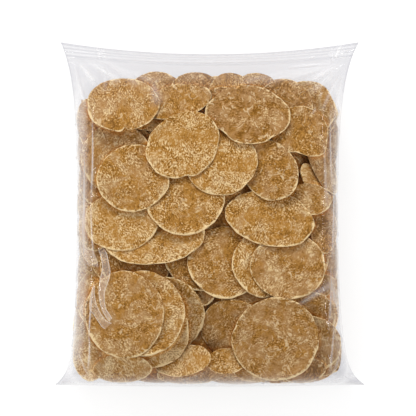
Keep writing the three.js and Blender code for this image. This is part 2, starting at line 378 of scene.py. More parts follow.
@dataclass(frozen=True)
class Papad:
    """One papad as its wall sees it: where, how long and broad, and how it turns.

    The seed draws its uneven outline, its bends and its grain's direction. The tone
    goes from 0 for dark to 1 for pale, and speck from 0 for smooth to 1 for grainy.
    """

    u: float
    v: float
    long: float
    broad: float
    turn: float
    seed: int
    tone: float = 0.5
    speck: float = 0.5
    nicks: tuple[Nick, ...] = ()

    def draws(self) -> Array:
        """Sixteen numbers from −1 to 1 that belong to this papad."""
        steps = np.arange(16)
        return 2.0 * lattice(steps, steps * 0 + 7, self.seed) - 1.0

    def outline(self, angle: Array) -> Array:
        """Reach of the rim at an angle, near 1: noise on circles of growing size, so
        slow waves, knocks and a fine fray, for some papads a chip, and the nicks.

        Args:
            angle: directions on the papad, in radians.

        Returns:
            The reach, as a share.
        """
        d = self.draws()
        c, s = np.cos(angle), np.sin(angle)
        reach = 1.0 + 0 * angle
        for size, share in SHAPE.waves:
            reach = reach + share * noise(size * c, size * s, self.seed)
        from_chip = np.abs(np.angle(np.exp(1j * (angle - np.pi * d[CHIP_AT]))))
        chip = SHAPE.chip * max(0.0, d[CHIP]) ** 2
        reach = reach - chip * bump_at(from_chip, SHAPE.chip_width)
        du, dv = self.spread(c, s)
        degrees = np.degrees(np.arctan2(dv, du))
        for nick in self.nicks:
            reach = reach - nick.at(degrees)
        return reach

    def bend(self, a: Array, b: Array) -> Array:
        """Height of the bent middle surface, in mm, at a share of the half length and
        of the half breadth: a cup, a saddle, a twist, a ripple that grows outwards,
        a rim that curls up, more in some directions than in others, and soft folds.

        Args:
            a: places along it, as shares of the half length.
            b: places across it, as shares of the half breadth.

        Returns:
            Heights towards the film.
        """
        d = self.draws()
        square = a * a + b * b
        reach = np.sqrt(square)
        ripple = np.sin(4 * np.arctan2(b, a) + 6 * d[RIPPLE_AT]) * square * reach
        height = SHAPE.cup * d[CUP] * square
        height = height + SHAPE.saddle * d[SADDLE] * (a * a - b * b)
        height = height + SHAPE.twist * d[TWIST] * 2 * a * b
        height = height + SHAPE.ripple * d[RIPPLE] * ripple
        toward = SHAPE.curl_waves * np.stack([a, b]) / np.maximum(reach, 1e-6)
        uneven = 0.6 + 0.5 * noise(*toward, self.seed + 9)
        curled = rise(reach, SHAPE.curl_start, 1 - SHAPE.curl_start) ** 1.5
        height = height + SHAPE.curl * uneven * curled
        fold_at = SHAPE.folds * a + d[FOLD_A], SHAPE.folds * b + d[FOLD_B]
        fold = noise(*fold_at, self.seed + 17)
        height = height - SHAPE.fold * np.abs(fold) * square
        return height * min(1.0, self.broad / SHAPE.full_size)

    def way(self) -> Pair:
        """Cosine and sine of the papad's turn."""
        return math.cos(math.radians(self.turn)), math.sin(math.radians(self.turn))

    def local(self, u: Array, v: Array) -> tuple[Array, Array]:
        """A wall's coordinates as shares of the half length and half breadth.

        Args:
            u: across the wall.
            v: up the wall.

        Returns:
            The shares along and across the papad.
        """
        c, s = self.way()
        du, dv = u - self.u, v - self.v
        return (du * c + dv * s) / self.long, (dv * c - du * s) / self.broad

    def spread(self, a: Array, b: Array) -> tuple[Array, Array]:
        """The reverse of local(), as offsets from the papad's middle.

        Args:
            a: shares of the half length.
            b: shares of the half breadth.

        Returns:
            Offsets across and up the wall.
        """
        c, s = self.way()
        along, across = a * self.long, b * self.broad
        return along * c - across * s, along * s + across * c


@dataclass(frozen=True)
class Resting:
    """A papad at rest on a wall: the height of its middle and how it leans."""

    papad: Papad
    side: Side
    height: float
    lean: Pair

    def face(self, u: Array, v: Array) -> Array:
        """Height of the face next to the film: a leaning plane and the papad's bend.

        Args:
            u: across the wall.
            v: up the wall.

        Returns:
            The heights.
        """
        a, b = self.papad.local(u, v)
        plane = self.lean[0] * (u - self.papad.u) + self.lean[1] * (v - self.papad.v)
        return self.height + plane + self.papad.bend(a, b)

    def steep(self) -> float:
        """How much longer a line across the leaning papad is, measured straight out."""
        return math.sqrt(1 + self.lean[0] ** 2 + self.lean[1] ** 2)


class Side(Enum):
    """The sides of the heap that papads press on. Each has its axes: across, up, out."""

    FRONT = ((1, 0, 0), (0, 1, 0), (0, 0, 1))
    BACK = ((1, 0, 0), (0, -1, 0), (0, 0, -1))
    LEFT = ((0, 0, 1), (0, 1, 0), (-1, 0, 0))
    RIGHT = ((0, 1, 0), (0, 0, 1), (1, 0, 0))
    ZIP = ((0, 0, 1), (1, 0, 0), (0, 1, 0))
    FOOT = ((1, 0, 0), (0, 0, 1), (0, -1, 0))

    def world(self, u: Array, v: Array, out: Array) -> Array:
        """Points in the bag's frame from a wall's across, up and out."""
        return np.stack([u, v, out], axis=-1) @ np.array(self.value, float)


@dataclass
class Wall:
    """A side of the heap as a map, one knot a millimetre, of how far out papads may
    reach. Each papad that comes to rest lowers the map behind it."""

    side: Side
    first: Pair
    room: Array
    outer: Array
    gap: float = 0.2
    margin: float = 1.02  # how much wider than the papad its place in the map is
    rings: tuple[float, ...] = (0.0, 0.3, 0.55, 0.75, 0.9, 1.0)
    spokes: int = 28
    leans: tuple[Pair, ...] = ((0.24, 0.08), (0.08, 0.02), (0.02, 0.005))

    def __post_init__(self) -> None:
        """Notes the most room that the wall has."""
        self.furthest = float(self.room.max())

    def look(self, chart: Array, u: Array, v: Array) -> Array:
        """What one of the wall's maps says at points, at the nearest knots.

        Args:
            chart: the map, with a number for each knot.
            u: across the wall.
            v: up the wall.

        Returns:
            A number for each point.
        """
        i = np.clip(np.rint(u - self.first[0]), 0, chart.shape[0] - 1).astype(int)
        j = np.clip(np.rint(v - self.first[1]), 0, chart.shape[1] - 1).astype(int)
        return chart[i, j]

    def place(self, papad: Papad, most_lean: float) -> Resting:
        """Pushes a papad outwards until it meets the film or the papads before it.

        Of all leans it takes the one that lets its middle lie furthest out: for each
        lean, the height is the least of room − lean − bend over spots on the papad.

        Args:
            papad: the papad to place.
            most_lean: the steepest lean that it may take.

        Returns:
            The papad at rest.
        """
        angle = round_angles(self.spokes)
        reach = papad.outline(angle)[None, :] * np.array(self.rings)[:, None]
        a, b = (reach * np.cos(angle)).ravel(), (reach * np.sin(angle)).ravel()
        du, dv = papad.spread(a, b)
        spare = self.look(self.room, papad.u + du, papad.v + dv) - papad.bend(a, b)
        best, lean = -np.inf, (0.0, 0.0)
        for most, step in ((most_lean, most_lean / 6), *self.leans):
            tries = np.arange(-most, most + step / 2, step)
            p, q = np.meshgrid(lean[0] + tries, lean[1] + tries, indexing="ij")
            p, q = p.ravel(), q.ravel()
            height = (spare - p[:, None] * du - q[:, None] * dv).min(1)
            height = np.where(np.maximum(abs(p), abs(q)) > most_lean, -np.inf, height)
            k = int(np.argmax(height))
            if height[k] > best:
                best, lean = float(height[k]), (float(p[k]), float(q[k]))
        return Resting(papad, self.side, best, lean)

    def lower(self, resting: Resting) -> None:
        """Takes a resting papad's place out of the room, and notes its outer face.

        Args:
            resting: the papad.
        """
        papad = resting.papad
        span = int(math.ceil(max(papad.long, papad.broad) * 1.1)) + 2
        i, j = (
            slice(max(0, int(at - first) - span), min(count, int(at - first) + span))
            for at, first, count in zip((papad.u, papad.v), self.first, self.room.shape)
        )
        u, v = np.meshgrid(
            np.arange(i.start, i.stop) + self.first[0],
            np.arange(j.start, j.stop) + self.first[1],
            indexing="ij",
        )
        a, b = papad.local(u, v)
        inside = np.hypot(a, b) < papad.outline(np.arctan2(b, a)) * self.margin
        face = resting.face(u, v)
        behind = face - (SHAPE.thickness + self.gap) * resting.steep()
        room, outer = self.room[i, j], self.outer[i, j]
        room[inside] = np.minimum(room, behind)[inside]
        outer[inside] = np.maximum(outer, face)[inside]


@dataclass(frozen=True)
class Shown:
    """A papad that the photograph shows: its middle's pixel, its half length and half
    breadth as they show, in mm, and the turn of its long side in degrees."""

    px: float
    py: float
    long: float
    broad: float
    turn: float = 0.0
    tone: float = 0.5
    speck: float = 0.5
    nicks: tuple[Nick, ...] = ()

    def papad(self, seed: int) -> Papad:
        """The papad on the front wall.

        Args:
            seed: the number that draws its uneven form.

        Returns:
            The papad.
        """
        u, v = PHOTO.on_front(self.px, self.py)
        size = (self.long, self.broad, self.turn)
        return Papad(u, v, *size, seed, self.tone, self.speck, self.nicks)


# The papads behind the front film, the foremost first
SHOWN = tuple(Shown(*row) for row in (
    (183.5, 145, 33.3, 26.9, 35, 0.6, 0.9, (Nick(-100, 0.06, 22), Nick(-68, -0.03, 9))),
    (122.5, 104, 31.6, 23, 0, 0.5, 0.35, (Nick(-84, 0.14, 4), Nick(-97, -0.05, 8))),
    (247, 114.5, 37, 24.9, -3, 0.3, 0.1, (
        Nick(214, 0.17, 24), Nick(-40, 0.05, 14), Nick(109, 0.1, 4), Nick(150, 0.06, 12)
    )),
    (133, 178, 30.7, 29.4, 0, 0.5, 0.5, (Nick(-12, -0.05, 12),)),
    (124, 315, 36.7, 34.5, 90, 0.5, 0.3), (275.5, 340, 37.5, 36.3, 0, 0.45, 0.2),
    (221, 161, 30.7, 29.4, 0, 0.65, 0.8),
    (270, 170, 27.3, 23, -50, 0.35, 0.4, (Nick(-75, 0.04, 14),)),
    (270, 218, 38.4, 23.9, -10, 0.5, 0.7, (Nick(60, 0.06, 12), Nick(20, 0.05, 12))),
    (176, 101, 30.7, 14.6, 12, 0.4, 0.5, (Nick(150, 0.06, 12),)),
    (224, 112, 27.3, 21.5, 0, 0.2, 0.2), (184.5, 197, 34, 33.2, 0, 0.45, 0.7),
    (121, 221, 31.6, 25.2, 0, 0.75, 0.7),
    (121, 370, 25.9, 12.9, 0, 0.8, 0.3, (Nick(28, -0.06, 9), Nick(158, 0.08, 20))),
    (299, 132, 24.5, 22.5, 0, 0.35, 0.5, (Nick(-98, 0.24, 27), Nick(-40, -0.16, 18))),
    (323, 163, 29, 9.5, -64, 0.4, 0.3), (144, 313, 36.7, 34.1, 90, 0.7, 0.5),
    (153, 236, 43.5, 25.2, 4, 0.7, 0.7), (288, 266, 32.4, 29, 0, 0.5, 0.15),
    (309, 199, 19.5, 13.6, -8, 0.5, 0.2), (285, 106, 24.5, 23.5, 0, 0.25, 0.3),
    (307, 108, 25.6, 25, 0, 0.8, 0.5, (Nick(-8, -0.1, 10), Nick(28, 0.05, 10))),
    (264, 264, 28.1, 26.9, 90, 0.6, 0.7), (225, 262, 31.6, 30.7, 0, 0.35, 0.5),
    (150, 332, 33.3, 33, 0, 1, 0.4), (182, 362, 24.7, 12.8, 12, 0.8, 0.5),
    (166, 316, 33.5, 32, 90, 0.7, 0.7), (226, 362, 17, 11, 0, 0.55, 0.8),
    (256, 370, 20.5, 12, 0, 0.7, 0.6), (303, 372, 20.5, 11.9, 5, 0.1, 0.3),
    (232, 329, 26.9, 26, 0, 0.35, 0.4), (310, 346, 28.1, 25.6, 0, 0.55, 0.3),
    (325, 364, 14, 13, 0, 0.4, 0.3), (310, 318, 22.6, 22, 0, 0.45, 0.3),
    (308, 290, 25.6, 12.2, 15, 0.45, 0.6), (116, 158, 30.7, 30, 0, 0.6, 0.2),
    (203, 259, 32.4, 27.3, 0, 0, 0.9), (224, 217, 25.6, 25, 0, 0.3, 0.5),
    (315, 179, 16, 9, -53, 0.9, 0.8, (Nick(-10, 0.2, 20),)),
    (302, 158, 18, 9, -58, 0.4, 0.3), (306, 166, 24, 21, -60, 0.3, 0.4),
    (150, 112, 25.6, 15.4, 0, 0.8, 0.5), (230.5, 91, 18.5, 18, 0, 0.3, 0.7),
    (196, 92.5, 23, 19.9, 0, 0.1, 0.5), (256, 92.5, 21.5, 19.5, 0, 0.4, 0.5),
    (284, 98.5, 23.9, 19, 0, 0.2, 0.3), (155, 94, 24.8, 21.6, 0, 0.4, 0.2),
    (135, 262, 30.2, 29.5, 0, 0.1, 0.5), (94, 127, 27, 16, 106, 0.4, 0.3),
    (326, 122, 17, 8.5, 58, 0.8, 0.8), (329, 178, 27, 9, 88, 0.4, 0.3),
    (325, 228, 22.5, 12, 90, 0.2, 0.5), (295, 245, 25.6, 25), (303, 258, 24.2, 23.5),
    (92, 178, 22, 13, 90, 0.2, 0.3), (93, 226, 22, 14, 90, 0.8, 0.3),
    (92, 240, 21, 12, 90, 0.5, 0.3), (108, 258, 20.8, 15.9, 90, 0.5, 0.3),
    (94, 298, 24, 16.5, 90, 0.8, 0.3), (91, 350, 28, 18.5, 84, 0.9, 0.3),
    (329, 262, 26, 10.5, 88, 0.5, 0.5), (330, 306, 26, 10.5, 92, 0.6, 0.5),
    (334, 350, 22, 8.5, 97, 0.4, 0.5), (88, 205, 25, 10.5, 92, 0.8, 0.3),
    (86, 275, 25, 9.5, 90, 0.8, 0.3), (81.5, 325, 24, 10, 84, 0.8, 0.3),
    (332, 215, 25, 8, 90, 0.3, 0.5), (333, 285, 25, 8, 92, 0.5, 0.5),
    (332.5, 143, 24, 8, 88, 0.4, 0.4), (85, 150, 24, 8.5, 90, 0.5, 0.3),
    (84, 190, 22, 7, 90, 0.4, 0.4), (84, 238, 24, 7, 90, 0.5, 0.3),
    (80, 345, 20, 8, 82, 0.5, 0.3), (118, 352, 28, 20, 0, 0.4, 0.3),
    (190, 377.5, 30, 9.5, 3, 0.3, 0.3), (152, 378.5, 24, 8.5, -4, 0.3, 0.3),
    (238, 378.5, 28, 9, -2, 0.4, 0.4), (284, 378.5, 27, 8.5, 2, 0.4, 0.3),
    (317, 376, 20, 9, 14, 0.5, 0.3), (102, 372, 20, 9, -10, 0.5, 0.3),
    (190, 284, 24, 15, -38, 0.3, 0.3), (249, 298, 24, 12, 0, 0.3, 0.3),
    (204, 346, 20, 13, 0, 0.4, 0.4), (216, 92, 17, 16.5, 0, 0.3, 0.5),
    (207, 301, 19, 15, 10, 0.3, 0.3), (300, 162, 20, 17, 0, 0.3, 0.4),
))


@dataclass(frozen=True)
class Layer:
    """A layer of papads set out on a wall as a loose brick pattern, by a seeded draw."""

    side: Side
    first: Pair
    last: Pair
    step: Pair
    jitter: float
    long: float = 32.5
    broad: float = 30.5
    seed: int = 0
    sizes: Pair = (0.9, 1.08)
    looks: Pair = (0.2, 0.8)

    def papads(self) -> list[Papad]:
        """The layer's papads, in a drawn order, one for each place of the pattern.

        Returns:
            The papads.
        """
        rng = np.random.default_rng(self.seed)
        us = np.arange(self.first[0], self.last[0] + 0.1, self.step[0])
        vs = np.arange(self.first[1], self.last[1] + 0.1, self.step[1])
        u, v = np.meshgrid(us, vs, indexing="ij")
        u = u + np.where(np.arange(len(vs)) % 2, self.step[0] / 2, 0.0)[None, :]
        u = np.where(u > self.last[0] + self.step[0] / 3, u - self.step[0] / 2, u)
        places = np.stack([u.ravel(), v.ravel()], 1)
        places += rng.uniform(-self.jitter, self.jitter, places.shape)
        order = rng.permutation(len(places))
        sizes = rng.uniform(*self.sizes, len(places))
        turns = rng.uniform(0, 180, len(places)) * (abs(self.long - self.broad) < 3)
        looks = rng.uniform(*self.looks, (2, len(places))).T
        size = np.outer(sizes, (self.long, self.broad))
        return [
            Papad(*places[k], *size[k], turns[k], self.seed * 1000 + int(k), *looks[k])
            for k in order
        ]


# Papads that fill the heap behind those that the photograph shows
INNER = (
    Layer(Side.FRONT, (-80, -112), (80, 86), (40, 40), 7, seed=21),
    Layer(Side.FRONT, (-76, -104), (76, 78), (42, 39), 9, seed=22),
)
UNDER = (
    Layer(Side.BACK, (-82, -82), (82, 124), (41, 39), 7, seed=51),
    Layer(Side.BACK, (-78, -76), (78, 118), (43, 41), 8, seed=52),
    Layer(Side.BACK, (-84, -84), (84, 120), (39, 37), 8, seed=53),
)
AROUND = (
    Layer(Side.LEFT, (24, -96), (24, 76), (40, 28), 2, 15.5, 30.0, seed=31),
    Layer(Side.LEFT, (25, -92), (25, 74), (40, 31), 3, 15.0, 30.0, seed=32),
    Layer(Side.LEFT, (27, -88), (27, 72), (40, 33), 3, 14.0, 30.0, seed=35),
    Layer(Side.RIGHT, (-96, 24), (76, 24), (28, 40), 2, 30.0, 15.5, seed=33),
    Layer(Side.RIGHT, (-92, 25), (74, 25), (31, 40), 3, 30.0, 15.0, seed=34),
    Layer(Side.RIGHT, (-88, 27), (72, 27), (33, 40), 3, 30.0, 14.0, seed=36),
    Layer(Side.FOOT, (-66, 26), (66, 26), (33, 40), 3, 30.0, 15.0, seed=41),
    Layer(Side.FOOT, (-60, 27), (60, 27), (36, 40), 4, 30.0, 14.0, seed=42),
    Layer(Side.ZIP, (26, -40), (26, 40), (40, 27), 3, 15.0, 30.0, seed=43),
    Layer(Side.ZIP, (27, -36), (27, 36), (40, 36), 4, 14.0, 30.0, seed=44),
)


@dataclass
class Heap:
    """All the papads in the bag, and the walls that they rest on. Sizes in mm."""

    form: BagForm = FORM
    clearance: float = 0.7
    around_clearance: float = 3.0
    low: tuple[int, int, int] = (-122, -152, 0)
    high: tuple[int, int, int] = (122, 128, 86)
    front_lean: float = 2.0
    inner_lean: float = 0.4
    around_lean: float = 0.6
    most_deep: float = 30.0  # how far behind its wall a papad may come to rest
    slack: float = 1.0
    empty: float = -1000.0  # the outer face where no papad lies
    near: int = 3  # over how many knots faces are averaged for the depth of shade
    first_shade: float = 0.4
    full_shade: float = 7.0
    level: Pair = (1.6, 0.6)  # how fast shade grows with fullness, and its late start

    def __post_init__(self) -> None:
        """Works out the front and back walls' room from the heap's form."""
        xs, ys, _ = self._axes()
        x, y = np.meshgrid(xs, ys, indexing="ij")
        top = self.form.heap_top_height(x, y) - self.clearance
        back = -self.form.heap_back_height(x, y)[:, ::-1] - self.clearance
        self.walls = {
            Side.FRONT: self._wall(Side.FRONT, (xs[0], ys[0]), top),
            Side.BACK: self._wall(Side.BACK, (xs[0], -ys[-1]), back),
        }

    def _axes(self) -> list[Array]:
        """Whole millimetres along each axis of the heap's box."""
        return [np.arange(a, b + 1.0) for a, b in zip(self.low, self.high)]

    def _wall(self, side: Side, first: Pair, reach: Array) -> Wall:
        """A wall with nothing on it yet."""
        return Wall(side, first, reach, np.full(reach.shape, self.empty))

    def open_around(self) -> None:
        """Works out the other walls: on each line across the heap, the outermost
        millimetre that the papads at the front and at the back leave free."""
        xs, ys, zs = self._axes()
        top = self.walls[Side.FRONT].room[..., None]
        back = -self.walls[Side.BACK].room[:, ::-1, None]
        free = (back < zs) & (zs < top)
        along = np.moveaxis(free, 1, 0)
        self.walls |= {
            Side.LEFT: self._outermost(Side.LEFT, free, xs, (zs[0], ys[0])),
            Side.RIGHT: self._outermost(Side.RIGHT, free, xs, (ys[0], zs[0])),
            Side.ZIP: self._outermost(Side.ZIP, along, ys, (zs[0], xs[0])),
            Side.FOOT: self._outermost(Side.FOOT, along, ys, (xs[0], zs[0])),
        }

    def _outermost(self, side: Side, free: Array, at: Array, first: Pair) -> Wall:
        """A wall across the heap.

        Args:
            side: which wall.
            free: which cubic millimetres are free, the axis across the wall first.
            at: the coordinates along that axis.
            first: the wall map's first knot.

        Returns:
            The wall.
        """
        if side in (Side.RIGHT, Side.ZIP):
            reach = at[::-1][free[::-1].argmax(0)]
        else:
            reach = -at[free.argmax(0)]
        open_ = free.any(0)
        reach = np.where(open_, reach, reach[open_].min() - self.most_deep)
        reach = reach.T if side in (Side.LEFT, Side.ZIP) else reach
        return self._wall(side, first, reach - self.around_clearance)

    def holds(self, resting: Resting) -> bool:
        """Whether all of a papad lies in the heap, once it is pushed in by the slack.

        Args:
            resting: the papad.

        Returns:
            True if it fits and lies no deeper than a papad may.
        """
        angle = round_angles(24)
        du, dv = resting.papad.spread(np.cos(angle), np.sin(angle))
        u, v = resting.papad.u + du, resting.papad.v + dv
        x, y, z = resting.side.world(u, v, resting.face(u, v) - self.slack).T
        over = z - self.form.heap_top_height(x, y)
        under = self.form.heap_back_height(x, y) - z
        deep = self.walls[resting.side].furthest - resting.height
        return bool(np.maximum(over, under).max() < 0.0 and deep < self.most_deep)

    def behind(self, points: Array) -> Array:
        """How far points, in mm, lie behind the front papads around them, which sets their
        painted shade: 0 at their mean height, 1 from the full shade's depth on, and less
        near the shoulders.

        Args:
            points: n by 3.

        Returns:
            A share for each point.
        """
        wall = self.walls[Side.FRONT]
        near = np.maximum(wall.outer, self.form.edge)
        steps = range(-self.near, self.near + 1)
        for axis in (0, 1):
            near = np.mean([np.roll(near, k, axis) for k in steps], 0)
        x, y, z = points.T
        grows, late = self.level
        level = smooth(grows * self.form.fullness(x, y, self.form.front) - late)
        deep = wall.look(near, x, y) - z - self.first_shade
        return level * smooth(deep / self.full_shade)

    def shown(self) -> list[Resting]:
        """The papads that the photograph shows, each at rest.

        Returns:
            The papads, the foremost first.
        """
        wall = self.walls[Side.FRONT]
        resting = []
        for k, shown in enumerate(SHOWN):
            resting.append(wall.place(shown.papad(100 + k), self.front_lean))
            wall.lower(resting[-1])
        return resting

    def fill(self, layers: tuple[Layer, ...], most_lean: float) -> list[Resting]:
        """The papads of some layers, each at rest. Those that don't fit stay out.

        Args:
            layers: the layers, the outermost first.
            most_lean: the steepest lean that a papad may take.

        Returns:
            The papads that fit.
        """
        resting = []
        for layer in layers:
            wall = self.walls[layer.side]
            tried, before = layer.papads(), len(resting)
            for papad in tried:
                settled = wall.place(papad, most_lean)
                if self.holds(settled):
                    wall.lower(settled)
                    resting.append(settled)
            count = (len(resting) - before, len(tried))
            LOG.info("%s layer %d: %d of %d fit", layer.side.name, layer.seed, *count)
        return resting


# ---------------------------------------------------------------- meshes


def put_faces(mesh: bpy.types.Mesh, points: Array, loops: Array, sizes: Array) -> None:
    """Fills a mesh from arrays.

    Args:
        mesh: the empty mesh.
        points: n by 3, in mm.
        loops: the corners' point numbers, face after face.
        sizes: how many corners each face has.
    """
    mesh.vertices.add(len(points))
    mesh.vertices.foreach_set("co", (points * MM).astype(np.float32).ravel())
    mesh.loops.add(len(loops))
    mesh.loops.foreach_set("vertex_index", loops.astype(np.int32))
    mesh.polygons.add(len(sizes))
    starts = np.concatenate([[0], np.cumsum(sizes)[:-1]])
    mesh.polygons.foreach_set("loop_start", starts.astype(np.int32))
    mesh.polygons.foreach_set("use_smooth", np.ones(len(sizes), bool))
    mesh.update(calc_edges=True)
    mesh.validate()


def new_piece(
    name: str,
    points: Array,
    faces: tuple[Array, ...],
    marks: dict[str, Array],
    uv: Array | None = None,
) -> bpy.types.Object:
    """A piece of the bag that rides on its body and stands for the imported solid.

    Args:
        name: the piece's name.
        points: n by 3, in mm.
        faces: sets of faces of point numbers, each with one row a face.
        marks: a number for each point, by the attribute's name.
        uv: a flat place for each point.

    Returns:
        The new object.
    """
    mesh = bpy.data.meshes.new(name)
    loops = np.concatenate([rows.ravel() for rows in faces])
    sizes = np.concatenate([np.full(len(rows), rows.shape[1]) for rows in faces])
    put_faces(mesh, points, loops, sizes)
    for key, values in marks.items():
        layer = mesh.attributes.new(key, "FLOAT", "POINT")
        layer.data.foreach_set("value", values.astype(np.float32).ravel())
    if uv is not None:
        at = np.empty(len(mesh.loops), np.int32)
        mesh.loops.foreach_get("vertex_index", at)
        layer = mesh.uv_layers.new(name="flat")
        layer.data.foreach_set("uv", uv[at].astype(np.float32).ravel())
    piece = bpy.data.objects.new(name, mesh)
    bpy.context.collection.objects.link(piece)
    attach(piece, BODY)
    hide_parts(NODE)
    LOG.info("%s: %d points, %d faces", name, len(points), len(sizes))
    return piece


def grid_quads(rows: int, columns: int, close: bool = False) -> Array:
    """Faces of a grid of points, row after row, closed round each row if asked.

    Args:
        rows: how many rows.
        columns: how many points a row has.
        close: whether each row is a ring.

    Returns:
        Faces of four point numbers.
    """
    j = np.arange(rows - 1)[:, None]
    i = np.arange(columns if close else columns - 1)[None, :]
    k = (i + 1) % columns
    corners = (j * columns + i, (j + 1) * columns + i, (j + 1) * columns + k)
    return np.stack([*corners, j * columns + k], -1).reshape(-1, 4)


@dataclass(frozen=True)
class PapadMesh:
    """How finely papads are meshed, and the grain of their faces, in mm."""

    rings: int
    spokes: int
    under_rings: int = 3
    rim: float = 0.03  # the rounded rim's share of the reach
    grain: float = 0.24  # up and down
    grain_size: float = 3.6
    lump: float = 0.6  # half of how far hollows sink
    lump_size: float = 11.0
    apart: float = 97.0  # how far apart the grains of two papads lie
    zip_side_rim_shade: float = 0.032  # painted shade: how much of the rim's pale mark the zip side loses, so lower rims look lit
    zip_side: Pair = (0.45, 0.75)  # that side's share at the middle, and its growth
    worn_rim: float = 0.024
    worn_waves: float = 3.2  # over half a papad

    def profile(self) -> tuple[Array, Array]:
        """Rings from the middle of the film face round the rim to the other middle.

        Returns:
            Each ring's reach, and its depth as a share of the thickness. The rim is a
            half round: depth is half of 1 − cosine, and reach a sine, of one angle.
        """
        turn = np.array([0.25, 0.5, 0.75]) * np.pi
        rim = (1 - self.rim) + self.rim * np.sin(turn)
        face = np.linspace(0, 1 - self.rim, self.rings + 1)[1:]
        back = np.linspace(1 - self.rim, 0, self.under_rings + 1)[:-1]
        depth = [face * 0, 0.5 * (1 - np.cos(turn)), np.ones(len(back))]
        return np.concatenate([face, rim, back]), np.concatenate(depth)

    def points(self, resting: Resting) -> tuple[Array, Array, Array]:
        """A papad's points: each ring as its outline, leaned, bent and grained.

        Args:
            resting: the papad at rest.

        Returns:
            Points in mm, their reach from middle to rim, less where the rim wears thin and
            less towards the zip as painted shade on the rim, and their flat places.
        """
        papad = resting.papad
        reach, depth = self.profile()
        angle = round_angles(self.spokes)
        out = reach[:, None] * papad.outline(angle)[None, :]
        a, b = (
            np.concatenate([[0.0], (out * part).ravel(), [0.0]])
            for part in (np.cos(angle), np.sin(angle))
        )
        depth = np.concatenate([[0.0], np.repeat(depth, self.spokes), [1.0]])
        rho = np.concatenate([[0.0], np.repeat(reach, self.spokes), [0.0]])
        du, dv = papad.spread(a, b)
        under = depth > 0.5
        way = np.pi * papad.draws()[GRAIN_WAY]
        c, s = math.cos(way), math.sin(way)
        shift = self.apart * (papad.seed % 61)
        flat = np.stack([du * c + dv * s, dv * c - du * s], -1) + shift
        grain = self.grain * noise(*(flat.T / self.grain_size), under + 3)
        lump = self.lump * (noise(*(flat.T / self.lump_size), under + 5) - 1)
        height = resting.face(papad.u + du, papad.v + dv)
        height = height + (grain + lump - SHAPE.thickness * depth) * resting.steep()
        # painted shade on the rim: its pale mark shrinks towards the zip, so the lower rims
        # look lit
        upward = dv / np.maximum(np.hypot(du, dv), 1e-6)
        level, growth = self.zip_side
        mark = rho - self.zip_side_rim_shade * smooth(level + growth * upward)
        rim_wear_and_highlight = noise(self.worn_waves * a, self.worn_waves * b, papad.seed + 31)
        mark = mark - self.worn_rim * rim_wear_and_highlight
        return resting.side.world(papad.u + du, papad.v + dv, height), mark, flat

    def build(self, name: str, papads: list[Resting], heap: Heap) -> bpy.types.Object:
        """One mesh of many papads.

        Args:
            name: the piece's name.
            papads: those that it is made of, at rest.
            heap: the heap that they lie in.

        Returns:
            The piece.
        """
        points, mark, flat = map(np.concatenate, zip(*map(self.points, papads)))
        count = len(points) // len(papads)
        rings = len(self.profile()[0])
        j = np.arange(self.spokes)
        k = (j + 1) % self.spokes
        last = 1 + (rings - 1) * self.spokes
        fans = [
            np.stack([j * 0, j + 1, k + 1], -1),
            np.stack([j * 0 + count - 1, last + k, last + j], -1),
        ]
        shift = (np.arange(len(papads)) * count)[:, None, None]
        faces = (grid_quads(rings, self.spokes, close=True) + 1, np.concatenate(fans))
        looks = [
            (rest.papad.tone, rest.papad.speck, rest.side is Side.FRONT)
            for rest in papads
        ]
        tone, speck, front = np.repeat(np.array(looks, float), count, axis=0).T
        marks = {"rim": mark, "tone": tone, "speck": speck}
        # painted shade: the deep mark says how much of it each point of a front papad gets
        marks["deep"] = front * heap.behind(points)
        piece = new_piece(
            name,
            points,
            tuple((f[None] + shift).reshape(-1, f.shape[1]) for f in faces),
            marks,
            flat * MM,
        )
        return piece


# ---------------------------------------------------------------- film


@dataclass(frozen=True)
class Crease:
    """A crease in the front film, from one pixel of the photograph to another."""

    start: Pair
    end: Pair
    height: float = 0.8
    width: float = 1.6
    bow: float = 0.0  # how far its middle stands to the left of the straight line
    milk_and_sheen: float = 0.22  # how white its middle is: milkiness of stretched film and a painted highlight

    def at(self, x: Array, y: Array) -> Array:
        """How much of the crease there is: a bell across it, a half sine along it.

        Args:
            x: across the bag.
            y: along the bag.

        Returns:
            The share from 0 to 1.
        """
        x0, y0 = PHOTO.on_front(*self.start)
        x1, y1 = PHOTO.on_front(*self.end)
        length = math.hypot(x1 - x0, y1 - y0)
        ex, ey = (x1 - x0) / length, (y1 - y0) / length
        along = ((x - x0) * ex + (y - y0) * ey) / length
        across = (y - y0) * ex - (x - x0) * ey
        inside = np.clip(along, 0.0, 1.0)
        across = across - 4 * self.bow * inside * (1 - inside)
        width = self.width * (0.5 + 0.9 * inside)
        return bump_at(across, width) * np.sin(np.pi * inside) ** 0.7


